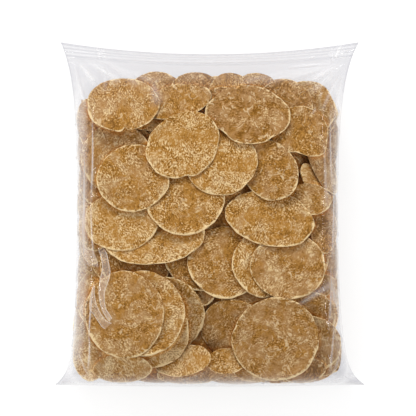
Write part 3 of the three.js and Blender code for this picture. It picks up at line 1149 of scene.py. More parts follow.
# Pull folds from the top corners, creases along both sides, folds in the ears, and
# small marks beside the zip
CREASES = tuple(Crease(*row) for row in (
    ((74, 57), (97, 86), 0.5, 2.2, 0, 0.3), ((86, 58), (119, 80), 0.4, 2.6, 0, 0.26),
    ((99, 56), (104, 92), 0.3, 1.6, 2, 0.14), ((102, 58), (138, 84), 0.4, 2.6, 1, 0.18),
    ((106, 60), (160, 82), 0.3, 2.2, -1, 0.14), ((70, 55), (88, 110), 0.7, 1.2, -2),
    ((346, 59), (306, 82), 0.5, 2.6, 0, 0.3), ((344, 63), (310, 92), 0.4, 2.4, 1, 0.22),
    ((334, 62), (286, 78), 0.4, 2.8, 0, 0.24), ((325, 62), (262, 80), 0.4, 2.8, 1, 0.2),
    ((337, 59.5), (288, 64), 0.3, 0.8, 0, 0.3), ((152, 80), (158, 106), 0.1, 4, 0, 0.16),
    ((296, 306), (340, 279), 0.2, 2.6, 0, 0.2), ((331, 275), (337, 308), 0.3, 2.6, 0, 0.22),
    ((318, 62), (240, 82), 0.3, 2.2, 0, 0.14), ((348, 66), (322, 112), 0.9, 1.2, -2),
    ((350, 62), (334, 130), 0.6, 1.2, -2), ((92, 108), (90.5, 205), 0.6, 0.7, 1, 0.4),
    ((91, 195), (94, 262), 0.6, 0.6, -1, 0.35),
    ((94, 281), (88.5, 340), 0.8, 0.55, -0.8, 0.5),
    ((88, 330), (87, 372), 0.7, 0.7, 1.5, 0.35), ((84, 150), (83, 260), 0.6, 1.1),
    ((331, 104), (333, 190), 0.6, 0.7, -1, 0.3), ((334, 172), (332, 262), 0.6, 0.7, 1, 0.3),
    ((331, 262), (329, 330), 0.6, 0.8, 1, 0.3), ((335, 322), (330, 376), 0.6, 0.8, 0, 0.3),
    ((324, 140), (327, 210), 0.5, 1.1), ((71, 350), (64, 372), 0.7, 0.9),
    ((77, 352), (90, 381), 0.8, 1), ((60, 382), (94, 374), 0.9, 1),
    ((64, 378), (74, 366), 0.7, 0.9), ((346, 352), (354, 374), 0.7, 0.9),
    ((342, 352), (331, 380), 0.8, 1), ((346, 377.5), (322, 385), 0.8, 0.9, 0.6, 0.6),
    ((326, 385.5), (314, 382), 0.8, 0.7, 0, 0.6),
    ((352, 380), (362, 382), 0.8, 0.8, 0, 0.5), ((340, 372), (348, 360), 1, 0.8),
    ((328, 379), (337, 366), 1.2, 0.7), ((92, 57), (108, 60), 0.7, 0.7),
    ((95, 52), (101, 46), 0.7, 0.7), ((60, 54), (72, 53), 0.8, 0.7),
    ((63, 58), (74, 59), 0.6, 0.7), ((335, 45), (336, 60), 0.8, 0.6),
    ((329, 51), (352, 47), 0.7, 0.7), ((338, 56), (352, 53), 0.9, 0.7, 1),
    ((311, 55), (318, 52), 0.7, 0.6), ((312, 114), (316, 108), 0.6, 0.8),
    ((319, 97), (323, 91), 0.6, 0.8),
))


@dataclass(frozen=True)
class Net:
    """A net over the bag's plan: each knot's place, its distance below the top edge,
    and how far across it lies, from −1 to 1."""

    x: Array
    y: Array
    below: Array
    across: Array

    def thinned(self) -> Net:
        """The net with every second row and column."""
        return Net(*(a[::2, ::2] for a in (self.x, self.y, self.below, self.across)))

    def thickened(self, z: Array) -> Array:
        """Heights on this net from those on the thinned one: means of neighbours.

        Args:
            z: the heights on the thinned net.

        Returns:
            The heights on this one.
        """
        full = np.empty(self.x.shape)
        full[::2, ::2] = z
        full[1::2, ::2] = (z[:-1] + z[1:]) / 2
        full[:, 1::2] = (full[:, :-1:2] + full[:, 2::2]) / 2
        return full

    def points(self, z: Array) -> Array:
        """Its knots at the given heights, n by 3."""
        return np.stack([self.x, self.y, z], -1).reshape(-1, 3)


@dataclass(frozen=True)
class Film:
    """The clear film: a front and a back sheet that meet along the bag's outline.

    Lines across the zip are a distance below the top, a width and a strength. Sizes are
    in mm, and strengths of milk and shade are shares.
    """

    form: BagForm = FORM
    columns: int = 252
    even_share: float = 0.7
    zip_step: float = 0.25
    body_step: float = 1.15
    foot_step: float = 0.5
    zip_growth: float = 0.07
    foot_growth: float = 0.06
    fin: float = 0.35
    clearance: float = 0.4
    ribs: tuple[float, ...] = (4.2, 6.0, 7.9, 9.8, 11.6)
    rib_half: float = 0.45
    rib_height: float = 0.3
    seal: float = 3.6
    sweeps: int = 500
    drive: float = 1.9
    crimps: tuple[Pair, ...] = ((-0.757, 0.12), (-0.72, 0.08), (0.88, 0.3))
    crimp_width: float = 0.010
    # painted highlights along the zip's ribs, and lines of painted shade beside them
    bright_lines: tuple[Triple, ...] = (
        (2.9, 0.6, 0.12), (6.3, 0.6, 0.16), (9.7, 0.8, 0.14), (12.6, 0.5, 0.08)
    )
    dark_lines: tuple[Triple, ...] = (
        (0.1, 0.8, 0.8), (1.7, 0.5, 0.55), (4.8, 0.55, 0.6), (7.8, 0.5, 0.5),
        (11.6, 0.65, 0.8),
    )
    # how strong the painted rib highlights are
    rib_highlight: float = 1.2
    zip_milk: float = 0.03
    seal_milk: float = 0.2
    loose_milk: float = 0.015
    most_milk_and_sheen: float = 0.6
    side_sheens: Pair = (0.18, 0.06)  # painted reflection of the side lamps along the left and the right side
    side_sheen_reach: float = 15.0
    side_sheen_fade: float = 7.0
    side_sheen_top: Pair = (45.0, 20.0)  # start below the top, and over what length it grows
    side_sheen_foot: Pair = (12.0, 25.0)  # the same, above the foot
    shade_share: float = 0.4  # how much a plain sheet dims what is behind it
    side_shade: float = 0.8
    side_width: float = 1.1
    seal_lines: Pair = (0.4, 0.8)  # widths of the dim lines at the seal and the foot
    ear: float = 36.0
    ear_fade: float = 12.0
    ear_across: Pair = (0.84, 0.1)  # where it starts across a row, over what it grows
    ear_shades: Pair = (0.25, 0.6)
    ear_waves: Waves = Waves(6.0, 9.0, 31)
    wrinkle: float = 0.11
    wide_wrinkles: Waves = Waves(3.5, 16.0, 11)
    fine_wrinkles: Waves = Waves(2.2, 9.0, 12)
    fine_share: float = 0.6
    back_wrinkles: Waves = Waves(5.0, 14.0, 21)
    swell: float = 0.15  # how much free film waves
    swell_waves: Waves = Waves(9.0, 9.0, 13)
    off_edge: Pair = (1.0, 6.0)  # from where and over what height wrinkles grow
    off_floor: float = 2.5

    def rows(self) -> Array:
        """Distances of the net's rows below the top: fine at the zip and at the foot.

        Returns:
            The distances, an odd count of them.
        """
        zip_end = self.ribs[-1] + 2.0
        at = list(np.arange(0.0, zip_end, self.zip_step))
        below = at[-1]
        while below < self.form.length - self.foot_step:
            from_zip = self.zip_step + self.zip_growth * (below - zip_end)
            from_foot = self.foot_step + self.foot_growth * (self.form.length - below)
            below += min(self.body_step, max(self.zip_step, from_zip), from_foot)
            at.append(below)
        at = at[: len(at) - 1 + len(at) % 2]
        return np.array(at) * self.form.length / at[-1]

    def net(self) -> Net:
        """The net over the bag's plan.

        Returns:
            The net.
        """
        form = self.form
        s = np.linspace(-1.0, 1.0, self.columns + 1)[None, :]
        across = self.even_share * s + (1 - self.even_share) * np.sin(np.pi * s / 2)
        below = self.rows()[:, None] + 0 * across
        across = across + 0 * below
        x = form.row_middle(below) + form.half_width(below) * across
        y = form.length / 2 - below - form.row_sag(below, across)
        return Net(x, y, below, across)

    def taut(self, net: Net, floor: Array, start: Array, sweeps: int) -> Array:
        """Heights of a sheet drawn taut over a floor.

        Each inner knot moves towards the mean of its four neighbours, weighed by their
        distances, and never below the floor. Knots move in two sets, like the squares
        of a chessboard.

        Args:
            net: the sheet's net.
            floor: the least height at each knot.
            start: the heights to start from.
            sweeps: how often each knot moves.

        Returns:
            The heights.
        """
        x, y = net.x, net.y
        beside = np.hypot(np.diff(x, axis=1), np.diff(y, axis=1))
        along = np.hypot(np.diff(x, axis=0), np.diff(y, axis=0))
        left, right = beside[1:-1, :-1], beside[1:-1, 1:]
        up, down = along[:-1, 1:-1], along[1:, 1:-1]
        weight = 1 / (left * right) + 1 / (up * down)
        w_left, w_right = 1 / (left * (left + right)), 1 / (right * (left + right))
        w_up, w_down = 1 / (up * (up + down)), 1 / (down * (up + down))
        j, i = np.indices(weight.shape)
        sets = [(i + j) % 2 == 0, (i + j) % 2 == 1]
        z = np.maximum(start, floor)
        inner = z[1:-1, 1:-1]
        for _ in range(sweeps):
            for chosen in sets:
                pull = z[1:-1, :-2] * w_left + z[1:-1, 2:] * w_right
                pull += z[:-2, 1:-1] * w_up + z[2:, 1:-1] * w_down
                moved = inner + self.drive * (pull / weight - inner)
                moved = np.maximum(moved, floor[1:-1, 1:-1])
                inner[chosen] = moved[chosen]
        return z

    def rib_wave(self, below: Array) -> Array:
        """Height of the zip's ribs: a rounded ridge at each rib's distance."""
        nearest = np.min([np.abs(below - rib) for rib in self.ribs], axis=0)
        return self.rib_height * np.sqrt(np.clip(1 - nearest / self.rib_half, 0, 1))

    def front_heights(self, net: Net, heap: Heap) -> Array:
        """The front sheet: taut over the papads, then creased, wrinkled and ribbed. The
        taut form is found on the thinned net first and then on the whole one.

        Args:
            net: the sheet's net.
            heap: the papads at rest.

        Returns:
            The heights.
        """
        form = self.form
        x, y = net.x, net.y
        wall = heap.walls[Side.FRONT]
        outer = wall.outer
        for axis in (0, 1):
            outer = np.maximum.reduce([np.roll(outer, k, axis) for k in (-1, 0, 1)])
        edge = form.edge_height(net.below)
        gap = form.fullness(x, y, form.gap)
        lowest = form.heap_top_height(x, y) - form.gap_drop * smooth(gap)
        floor = np.maximum(wall.look(outer, x, y) + self.clearance, lowest)
        floor = np.maximum(floor, edge + self.fin)
        low = floor[::2, ::2]
        rough = net.thickened(self.taut(net.thinned(), low, low, self.sweeps))
        z = self.taut(net, floor, rough, self.sweeps // 4)
        loose = smooth(1.2 - 1.2 * gap) * rise(z - edge, *self.off_edge)
        fine = self.wide_wrinkles.at(x, y) + self.fine_share * self.fine_wrinkles.at(x, y)
        free = self.swell * smooth((z - floor) / self.off_floor)
        free = free * self.swell_waves.at(x, y)
        crease = np.sum([c.height * c.at(x, y) for c in CREASES], axis=0)
        return z + crease + self.wrinkle * fine * loose + free + self.rib_wave(net.below)

    def height_at(self, net: Net, z: Array, x: Array, y: Array) -> Array:
        """A sheet's height at any points. The distance below the top edge is found by
        repeating y's formula, then the four knots around the point are blended.

        Args:
            net: the sheet's net.
            z: its heights.
            x: the points' places across the bag.
            y: the points' places along the bag.

        Returns:
            The heights at the points.
        """
        form = self.form
        straight = form.length / 2 - y
        below = straight
        for _ in range(6):
            across = (x - form.row_middle(below)) / form.half_width(below)
            below = straight - form.row_sag(below, across)
        rows, columns = z.shape
        row = np.interp(below, net.below[:, 0], np.arange(rows))
        column = np.interp(across, net.across[0], np.arange(columns))
        i = np.clip(row.astype(int), 0, rows - 2)
        j = np.clip(column.astype(int), 0, columns - 2)
        f, g = row - i, column - j
        upper = z[i, j] * (1 - g) + z[i, j + 1] * g
        lower = z[i + 1, j] * (1 - g) + z[i + 1, j + 1] * g
        return upper * (1 - f) + lower * f

    def back_heights(self, net: Net) -> Array:
        """The back sheet: under the heap, pressed flat where it lies on the surface.

        Args:
            net: the sheet's net.

        Returns:
            The heights.
        """
        edge = self.form.edge_height(net.below)
        ceiling = np.minimum(self.form.heap_back_height(net.x, net.y), edge - self.fin)
        z = -self.taut(net, -ceiling, -ceiling, self.sweeps)
        waves = 0.5 * self.wrinkle * self.back_wrinkles.at(net.x, net.y)
        z = z + waves * smooth(z / 5)
        return np.maximum(0.0, z - self.rib_wave(net.below))

    def inward(self, net: Net) -> Array:
        """Distance from the nearer side of the bag."""
        return (1 - np.abs(net.across)) * self.form.half_width(net.below)

    @staticmethod
    def zip_lines(net: Net, lines: tuple[Triple, ...]) -> Array:
        """The sum of some lines across the zip, each a bell."""
        return np.sum([s * bump_at(net.below - at, w) for at, w, s in lines], axis=0)

    def milk_and_sheen_share(self, net: Net) -> Array:
        """How milky the film is, and where it carries painted sheen: milky at the crimps
        beside the zip, the foot seal and the lip, and a little wherever it stands off the
        papads; painted highlights on the lines across the zip; milkiness and painted
        highlight along creases; a painted reflection along both sides.

        Args:
            net: the sheet's net.

        Returns:
            The share of milkiness and painted sheen at each knot.
        """
        form = self.form
        above = form.length - net.below
        zip_band = smooth((self.ribs[-1] + 1 - net.below) / 0.5)
        crimp = [s * bump_at(net.across - c, self.crimp_width) for c, s in self.crimps]
        seal = smooth((self.seal - above) / 0.6)
        loose = 1 - smooth(2.2 * form.fullness(net.x, net.y, form.gap))
        # milkiness and painted highlight along the creases
        crease = np.max([c.milk_and_sheen * c.at(net.x, net.y) for c in CREASES], axis=0)
        # painted reflection of the side lamps on the film's shoulders
        side_sheen = smooth((self.side_sheen_reach - self.inward(net)) / self.side_sheen_fade)
        side_sheen = side_sheen * rise(net.below, *self.side_sheen_top) * rise(above, *self.side_sheen_foot)
        side_sheen = side_sheen * np.where(net.across < 0, *self.side_sheens)
        # painted highlights along the zip's ribs
        marks = self.rib_highlight * self.zip_lines(net, self.bright_lines)
        marks = marks + zip_band * (np.sum(crimp, axis=0) + self.zip_milk)
        marks = marks + self.seal_milk * seal + self.loose_milk * loose
        return np.clip(marks + side_sheen + crease, 0.0, self.most_milk_and_sheen)

    def shade(self, net: Net) -> Array:
        """How much the film dims what is behind it: its own tint everywhere, and painted
        shade along its outline, beside each rib of the zip, at the lip, at the foot seal's
        inner edge and in the ears.

        Args:
            net: the sheet's net.

        Returns:
            The share of the dim tint at each knot.
        """
        above = self.form.length - net.below
        side = self.side_shade * bump_at(self.inward(net), self.side_width)
        at_seal, at_foot = self.seal_lines
        seal = bump_at(above - self.seal, at_seal) + bump_at(above, at_foot)
        ear = rise(np.abs(net.across), *self.ear_across)
        ear = ear * smooth((self.ear - above) / self.ear_fade)
        ear = ear * (0.7 + 0.5 * self.ear_waves.at(net.x, net.y))
        ear = ear * np.where(net.across < 0, *self.ear_shades)
        marks = side + self.zip_lines(net, self.dark_lines) + seal + ear
        return self.shade_share + (1 - self.shade_share) * np.clip(marks, 0.0, 1.0)

    def build(self, heap: Heap) -> None:
        """Makes both sheets, and the tucks on the front one, with their finish. The
        front sheet ends in a narrow wall down to the back one.

        Args:
            heap: the papads at rest.
        """
        net = self.net()
        few = net.thinned()
        rows, columns = net.x.shape
        front, back = self.front_heights(net, heap), self.back_heights(few)
        low = net.points(net.thickened(back))
        knots = np.arange(rows * columns).reshape(rows, columns)
        rim = np.concatenate(
            [knots[:, 0], knots[-1, 1:], knots[-2::-1, -1], knots[0, -2:0:-1]]
        )
        wall = np.arange(len(rim)) + rows * columns
        beside = np.stack([rim, wall, np.roll(wall, -1), np.roll(rim, -1)], -1)
        marks = {"milk_and_sheen_share": self.milk_and_sheen_share(net).ravel(), "shade": self.shade(net).ravel()}
        pieces = [
            new_piece(
                "film_front",
                np.concatenate([net.points(front), low[rim]]),
                (grid_quads(rows, columns), beside),
                {k: np.concatenate([m, m[rim]]) for k, m in marks.items()},
            ),
            new_piece(
                "film_back",
                few.points(back),
                (grid_quads(*few.x.shape)[:, ::-1],),
                {"milk_and_sheen_share": self.milk_and_sheen_share(few), "shade": self.shade(few)},
            ),
        ]
        for name, tuck in TUCKS.items():
            pieces.append(tuck.build(name, self, net, front))
        material = FilmFinish().material()
        for piece in pieces:
            piece.data.materials.append(material)


@dataclass(frozen=True)
class Tuck:
    """A tuck of loose film that lies on the front sheet: a band between two borders,
    each a row of pixels of the photograph from its upper to its lower end."""

    left: tuple[Pair, ...]
    right: tuple[Pair, ...]
    lift: float = 0.4
    swell: float = 0.7
    # painted reflection along the tuck's edges
    rim_sheen: float = 0.30
    inner_haze: float = 0.16
    rim_width: float = 0.7
    fades: Pair = (0.12, 0.03)  # the shares of its length that fade at either end
    rows: int = 72
    columns: int = 17

    def border(self, pixels: tuple[Pair, ...]) -> tuple[Array, Array]:
        """A smooth line through the pixels, in mm: a spline through four at a time.

        Args:
            pixels: the line's pixels, from its upper to its lower end.

        Returns:
            Its x and y, each a column.
        """
        p = np.array(pixels)
        p = np.vstack([2 * p[0] - p[1], p, 2 * p[-1] - p[-2]])
        t = np.linspace(0, len(p) - 3 - 1e-6, self.rows)
        k = t.astype(int)
        f = (t - k)[:, None]
        a, b, c, d = p[k], p[k + 1], p[k + 2], p[k + 3]
        curve = f * (2 * a - 5 * b + 4 * c - d + f * (3 * (b - c) + d - a))
        x, y = PHOTO.on_front(*(b + 0.5 * f * (c - a + curve)).T)
        return x[:, None], y[:, None]

    def build(self, name: str, film: Film, net: Net, sheet: Array) -> bpy.types.Object:
        """Lays the tuck on the front sheet, with a low swell between its borders.

        Args:
            name: the piece's name.
            film: the film that it is part of.
            net: the front sheet's net.
            sheet: the front sheet's heights.

        Returns:
            The piece.
        """
        (x0, y0), (x1, y1) = self.border(self.left), self.border(self.right)
        s = np.linspace(0.0, 1.0, self.columns)[None, :]
        x, y = x0 * (1 - s) + x1 * s, y0 * (1 - s) + y1 * s
        swell = self.swell * np.sin(np.pi * s)
        z = film.height_at(net, sheet, x, y) + self.lift + swell
        from_rim = np.minimum(s, 1 - s) * np.hypot(x1 - x0, y1 - y0)
        ends = np.linspace(0.0, 1.0, self.rows)[:, None]
        fade = smooth(ends / self.fades[0]) * smooth((1 - ends) / self.fades[1])
        # milkiness inside the tuck, and a painted reflection along its edges
        milk_and_sheen_share = self.inner_haze + self.rim_sheen * bump_at(from_rim, self.rim_width)
        return new_piece(
            name,
            np.stack([x, y, z], -1).reshape(-1, 3),
            (grid_quads(*x.shape),),
            {"milk_and_sheen_share": fade * milk_and_sheen_share, "warm": np.ones(x.shape)},
        )


TUCKS = {
    "tuck_right": Tuck(
        ((96.4, 246), (99.5, 253), (101.5, 261), (101.7, 270), (99.6, 280),
         (98.5, 292), (99.7, 303), (102.5, 311.5), (106.7, 318.6), (110, 322)),
        ((102.3, 246), (106.7, 253), (108.9, 263), (110.4, 272), (108.5, 281),
         (105, 291), (104.5, 300), (106, 308.4), (109.8, 314.5), (112.2, 319)),
    ),
    "tuck_left": Tuck(
        ((93.8, 282), (91.3, 291), (89.4, 301), (89.4, 309),
         (93.5, 315), (97.9, 321.6), (101.5, 326.7), (105.2, 329.3)),
        ((95.5, 282), (94.4, 291), (95.4, 300), (98, 308),
         (101.5, 314.5), (105.2, 319.5), (109, 322), (112.2, 323)),
        inner_haze=0.12,
    ),
    "tuck_upper": Tuck(
        ((83, 245), (84, 251), (85, 258), (88, 266)),
        ((92, 247), (94.5, 254), (97, 260), (98.5, 267)),
        rim_sheen=0.12,
    ),
}


# ---------------------------------------------------------------- finishes


Link = bpy.types.NodeSocket | float | tuple


@dataclass
class Nodes:
    """A node tree that is wired by short calls."""

    tree: bpy.types.NodeTree

    def add(self, kind: str, **values: Link) -> bpy.types.Node:
        """Adds a node.

        Args:
            kind: the node's type, without its ShaderNode prefix.
            values: an input by its name, with _ for a space, or by i and its number,
                or a property in lower case that starts with set_. A colour is given
                without its alpha, which is 1.

        Returns:
            The node.
        """
        node = self.tree.nodes.new("ShaderNode" + kind)
        for key, value in values.items():
            if key.startswith("set_"):
                setattr(node, key[4:], value)
                continue
            name = key.replace("_", " ")
            socket = node.inputs[int(key[1:]) if key[1:].isdigit() else name]
            if isinstance(value, bpy.types.NodeSocket):
                self.tree.links.new(value, socket)
            else:
                socket.default_value = (*value, 1) if socket.type == "RGBA" else value
        return node

    def mark(self, name: str) -> Link:
        """A number that the mesh carries at each point."""
        return self.add("Attribute", set_attribute_name=name).outputs["Fac"]

    def math(self, operation: str, *numbers: Link) -> Link:
        """The result of one sum of up to three numbers."""
        inputs = {f"i{k}": number for k, number in enumerate(numbers)}
        return self.add("Math", set_operation=operation, **inputs).outputs[0]

    def times(self, first: Link, second: Link) -> Link:
        """first times second."""
        return self.math("MULTIPLY", first, second)

    def line(self, value: Link, slope: Link, base: Link) -> Link:
        """value times slope, plus base."""
        return self.math("MULTIPLY_ADD", value, slope, base)

    def sway(self, pattern: Link, share: Link, base: Link) -> Link:
        """base, moved up or down by a share of how far a pattern is from 0.5."""
        return self.line(self.math("SUBTRACT", pattern, 0.5), share, base)

    def mix(self, factor: Link, first: Link, second: Link, blend: str = "MIX") -> Link:
        """A colour between two, by a factor, or the two blended in another way.

        Args:
            factor: 0 for the first colour, 1 for the second.
            first: a colour.
            second: a colour.
            blend: how they are blended.

        Returns:
            The colour.
        """
        node = self.add(
            "Mix",
            set_data_type="RGBA",
            set_blend_type=blend,
            i0=factor,
            i6=first,
            i7=second,
        )
        return node.outputs[2]

    def ramp(self, value: Link, low: float, high: float) -> Link:
        """A number from 0 to 1 as value goes from low to high, with level ends.

        Args:
            value: the number.
            low: where the ramp starts.
            high: where it ends.

        Returns:
            The ramp's result.
        """
        ends = {"From_Min": low, "From_Max": high}
        kind = {"set_interpolation_type": "SMOOTHSTEP"}
        return self.add("MapRange", Value=value, **kind, **ends).outputs[0]

    def noise(self, at: Link, per_m: float, detail: float, twist: float) -> Link:
        """A noise of a given fineness, detail and twist."""
        looks = {"Scale": per_m, "Detail": detail, "Distortion": twist}
        return self.add("TexNoise", Vector=at, **looks).outputs[0]

    def stretched(self, at: Link, along: float) -> Link:
        """Places whose second coordinate is scaled."""
        return self.add("Mapping", Vector=at, Scale=(1.0, along, 1.0)).outputs[0]


def new_material(name: str) -> tuple[bpy.types.Material, Nodes]:
    """An empty node material and its tree.

    Args:
        name: the material's name.

    Returns:
        The material and its tree.
    """
    material = bpy.data.materials.new(name)
    material.use_nodes = True
    material.node_tree.nodes.clear()
    return material, Nodes(material.node_tree)


@dataclass(frozen=True)
class PapadFinish:
    """Dry sago sheet: amber to tan, with pale flecks drawn out along one way, fine pale
    wrinkles, floury patches, a pale, broken rim that is partly a painted highlight, and
    painted shade, warm as if light came through, where papads lie behind others.

    The patterns are each waves a metre, detail and twist. A pair named after a change
    of colour is the span of the pattern over which it happens, and a share is how much
    a pattern sways the level from dark to pale. A pair with by in its name is a slope
    and a base.
    """

    dark: Triple = (0.215, 0.086, 0.004)
    amber: Triple = (0.47, 0.225, 0.036)
    tan: Triple = (0.44, 0.236, 0.080)
    pale: Triple = (0.86, 0.65, 0.33)
    flour: Triple = (0.84, 0.64, 0.37)
    # the rim's pale colour: its thin edge with wear, and a painted highlight
    rim_wear_and_highlight: Triple = (1.0, 0.78, 0.42)
    warm_painted_shade: Triple = (1.12, 0.87, 0.47)  # painted shade between papads, warm as if light came through them
    flecks: Triple = (860.0, 3.0, 0.3)
    cells: Triple = (344.0, 4.0, 0.8)
    clouds: Triple = (75.0, 3.0, 0.8)
    dusting: Triple = (157.5, 3.0, 0.8)
    veins: Triple = (112.5, 1.5, 0.9)
    grain_patches: Triple = (60.0, 1.0, 0.0)
    swirls_per_m: float = 37.5
    drawn_out: float = 0.7
    streak: float = 0.5
    swirl: float = 0.012  # m
    middle: float = 0.485
    tone_share: float = 0.4
    flecks_by_speck: Pair = (1.1, 1.25)
    flecks_by_patch: Pair = (0.8, 0.5)
    cell_share: float = 0.6
    dust_share: float = 0.42
    cloud_share: float = 0.78
    patches: Pair = (0.38, 0.6)
    to_tan: Pair = (0.38, 0.64)
    from_dark: Pair = (0.12, 0.50)
    to_pale: Pair = (0.48, 0.95)
    to_flour: Pair = (0.60, 0.68)
    flour_patches: Pair = (-0.4, 1.0)
    flour_by_speck: Pair = (0.7, 0.25)
    smooth_below: float = 0.45  # the speck under which a papad tends to tan
    smooth_share: float = 0.25
    wrinkles: Pair = (0.034, 0.006)
    wrinkled: Pair = (0.49, 0.57)
    wrinkle_share: float = 0.7
    wrinkles_by_speck: Pair = (-0.7, 1.1)
    rim_breaks: Pair = (0.10, 0.16)  # how much flecks and dust sway the rim's reach
    to_rim: Pair = (0.935, 0.985)
    rim_share: float = 0.82
    roughness: float = 0.55
    specular: float = 0.3
    bump: float = 0.6
    bump_height: float = 0.0009  # m

    def material(self) -> bpy.types.Material:
        """Builds the material.

        Returns:
            The material, which reads the flat places and the papads' marks.
        """
        material, n = new_material("sago_papad")
        flat = n.add("UVMap", set_uv_map="flat").outputs[0]
        speck = n.mark("speck")
        turned = n.add("TexNoise", Vector=flat, Scale=self.swirls_per_m, Detail=1.0)
        turned, swirl = turned.outputs["Color"], (self.swirl, self.swirl, 0.0)
        swirled = n.add(
            "VectorMath", set_operation="MULTIPLY_ADD", i0=turned, i1=swirl, i2=flat
        ).outputs[0]
        drawn = n.stretched(swirled, self.drawn_out)
        streaky = n.stretched(swirled, self.streak)
        fleck = n.noise(drawn, *self.flecks)
        cell = n.noise(streaky, *self.cells)
        cloud = n.noise(swirled, *self.clouds)
        dust = n.noise(flat, *self.dusting)
        vein = n.noise(swirled, *self.veins)
        grainy = n.ramp(n.noise(flat, *self.grain_patches), *self.patches)

        level = n.sway(n.mark("tone"), self.tone_share, self.middle)
        by_speck = n.line(speck, *self.flecks_by_speck)
        share = n.times(by_speck, n.line(grainy, *self.flecks_by_patch))
        level = n.sway(fleck, share, level)
        level = n.sway(cell, self.cell_share, level)
        level = n.sway(dust, self.dust_share, level)
        level = n.sway(cloud, self.cloud_share, level)
        even = n.math("SUBTRACT", self.smooth_below, speck)
        even = n.line(even, self.smooth_share, cloud)
        hue = n.mix(n.ramp(even, *self.to_tan), self.amber, self.tan)
        colour = n.mix(n.ramp(level, *self.from_dark), self.dark, hue)
        colour = n.mix(n.ramp(level, *self.to_pale), colour, self.pale)
        spot = n.ramp(fleck, *self.to_flour)
        spot = n.times(spot, n.ramp(grainy, *self.flour_patches))
        spot = n.times(spot, n.line(speck, *self.flour_by_speck))
        colour = n.mix(spot, colour, self.flour)
        off = n.math("ABSOLUTE", n.math("SUBTRACT", vein, 0.5))
        thin = n.times(n.ramp(off, *self.wrinkles), n.ramp(dust, *self.wrinkled))
        thin = n.times(thin, n.line(speck, *self.wrinkles_by_speck))
        colour = n.mix(n.times(thin, self.wrinkle_share), colour, self.flour)
        # the pale rim: a thin edge with wear, and partly a painted highlight
        by_fleck, by_dust = self.rim_breaks
        broken = n.sway(fleck, by_fleck, n.sway(dust, by_dust, n.mark("rim")))
        edge = n.times(n.ramp(broken, *self.to_rim), self.rim_share)
        colour = n.mix(edge, colour, self.rim_wear_and_highlight)
        # painted shade: papads darken and warm where they lie behind the front ones around
        # them, though not at the rim
        deep = n.times(n.mark("deep"), n.math("SUBTRACT", 1.0, edge))
        colour = n.mix(deep, colour, self.warm_painted_shade, "MULTIPLY")

        height = n.line(cell, 0.7, n.times(fleck, 0.6))
        height = n.math("ADD", height, n.times(thin, 0.5))
        bump = n.add("Bump", Height=height, Strength=self.bump, Distance=self.bump_height)
        shader = n.add(
            "BsdfPrincipled",
            Base_Color=colour,
            Roughness=self.roughness,
            Specular_IOR_Level=self.specular,
            Normal=bump.outputs[0],
        )
        n.add("OutputMaterial", Surface=shader.outputs[0])
        return material


@dataclass(frozen=True)
class FilmFinish:
    """Clear glossy film: it mirrors more the more it turns away, and is a little milky,
    with painted highlights and painted shade in places, and a warmer white, painted
    warm light from the papads, where it is loose and lies close to them."""

    tint: Triple = (0.97, 0.965, 0.97)
    dim: Triple = (0.76, 0.76, 0.785)
    shine: float = 0.026
    milk_and_sheen: Triple = (0.9, 0.9, 0.9)
    # painted warm light from the papads, on loose film lying close to them
    papad_lit_milk: Triple = (0.97, 0.88, 0.78)
    roughness: float = 0.05

    def material(self) -> bpy.types.Material:
        """Builds the material: see-through, mixed with gloss by the power of facing
        away, then with a pale matt by its share of milkiness and painted sheen.

        Returns:
            The material.
        """
        material, n = new_material("clear_film")
        facing = n.add("LayerWeight", Blend=0.5).outputs["Facing"]
        mirror = n.times(n.math("POWER", facing, 5.0), 1 - self.shine)
        mirror = n.math("ADD", mirror, self.shine)
        tint = n.mix(n.mark("shade"), self.tint, self.dim)
        milk_and_sheen = n.mix(n.mark("warm"), self.milk_and_sheen, self.papad_lit_milk)
        clear = n.add("BsdfTransparent", Color=tint).outputs[0]
        gloss = n.add("BsdfGlossy", Color=(1, 1, 1), Roughness=self.roughness).outputs[0]
        matt = n.add("BsdfDiffuse", Color=milk_and_sheen).outputs[0]
        body = n.add("MixShader", i0=mirror, i1=clear, i2=gloss).outputs[0]
        # the pale matt gives milkiness and painted sheen
        milky = n.add("MixShader", i0=n.mark("milk_and_sheen_share"), i1=body, i2=matt)
        n.add("OutputMaterial", Surface=milky.outputs[0])
        return material


# ---------------------------------------------------------------- the studio


@dataclass(frozen=True)
class Lamp:
    """A soft rectangular lamp that faces the bag. Sizes in metres, power in watts. One
    that isn't mirrored leaves no highlight on the film."""

    name: str
    place: Triple
    size: Pair
    power: float
    mirrored: bool = True

    def build(self) -> None:
        """Makes the lamp: it leans by its angle from the zenith, then turns to its side."""
        data = bpy.data.lights.new(self.name, "AREA")
        data.shape = "RECTANGLE"
        data.size, data.size_y = self.size
        data.energy = self.power
        lamp = bpy.data.objects.new(self.name, data)
        x, y, z = self.place
        lamp.visible_glossy = self.mirrored
        lamp.location = self.place
        lamp.rotation_euler = (math.atan2(math.hypot(x, y), z), 0.0, math.atan2(x, -y))
        bpy.context.collection.objects.link(lamp)


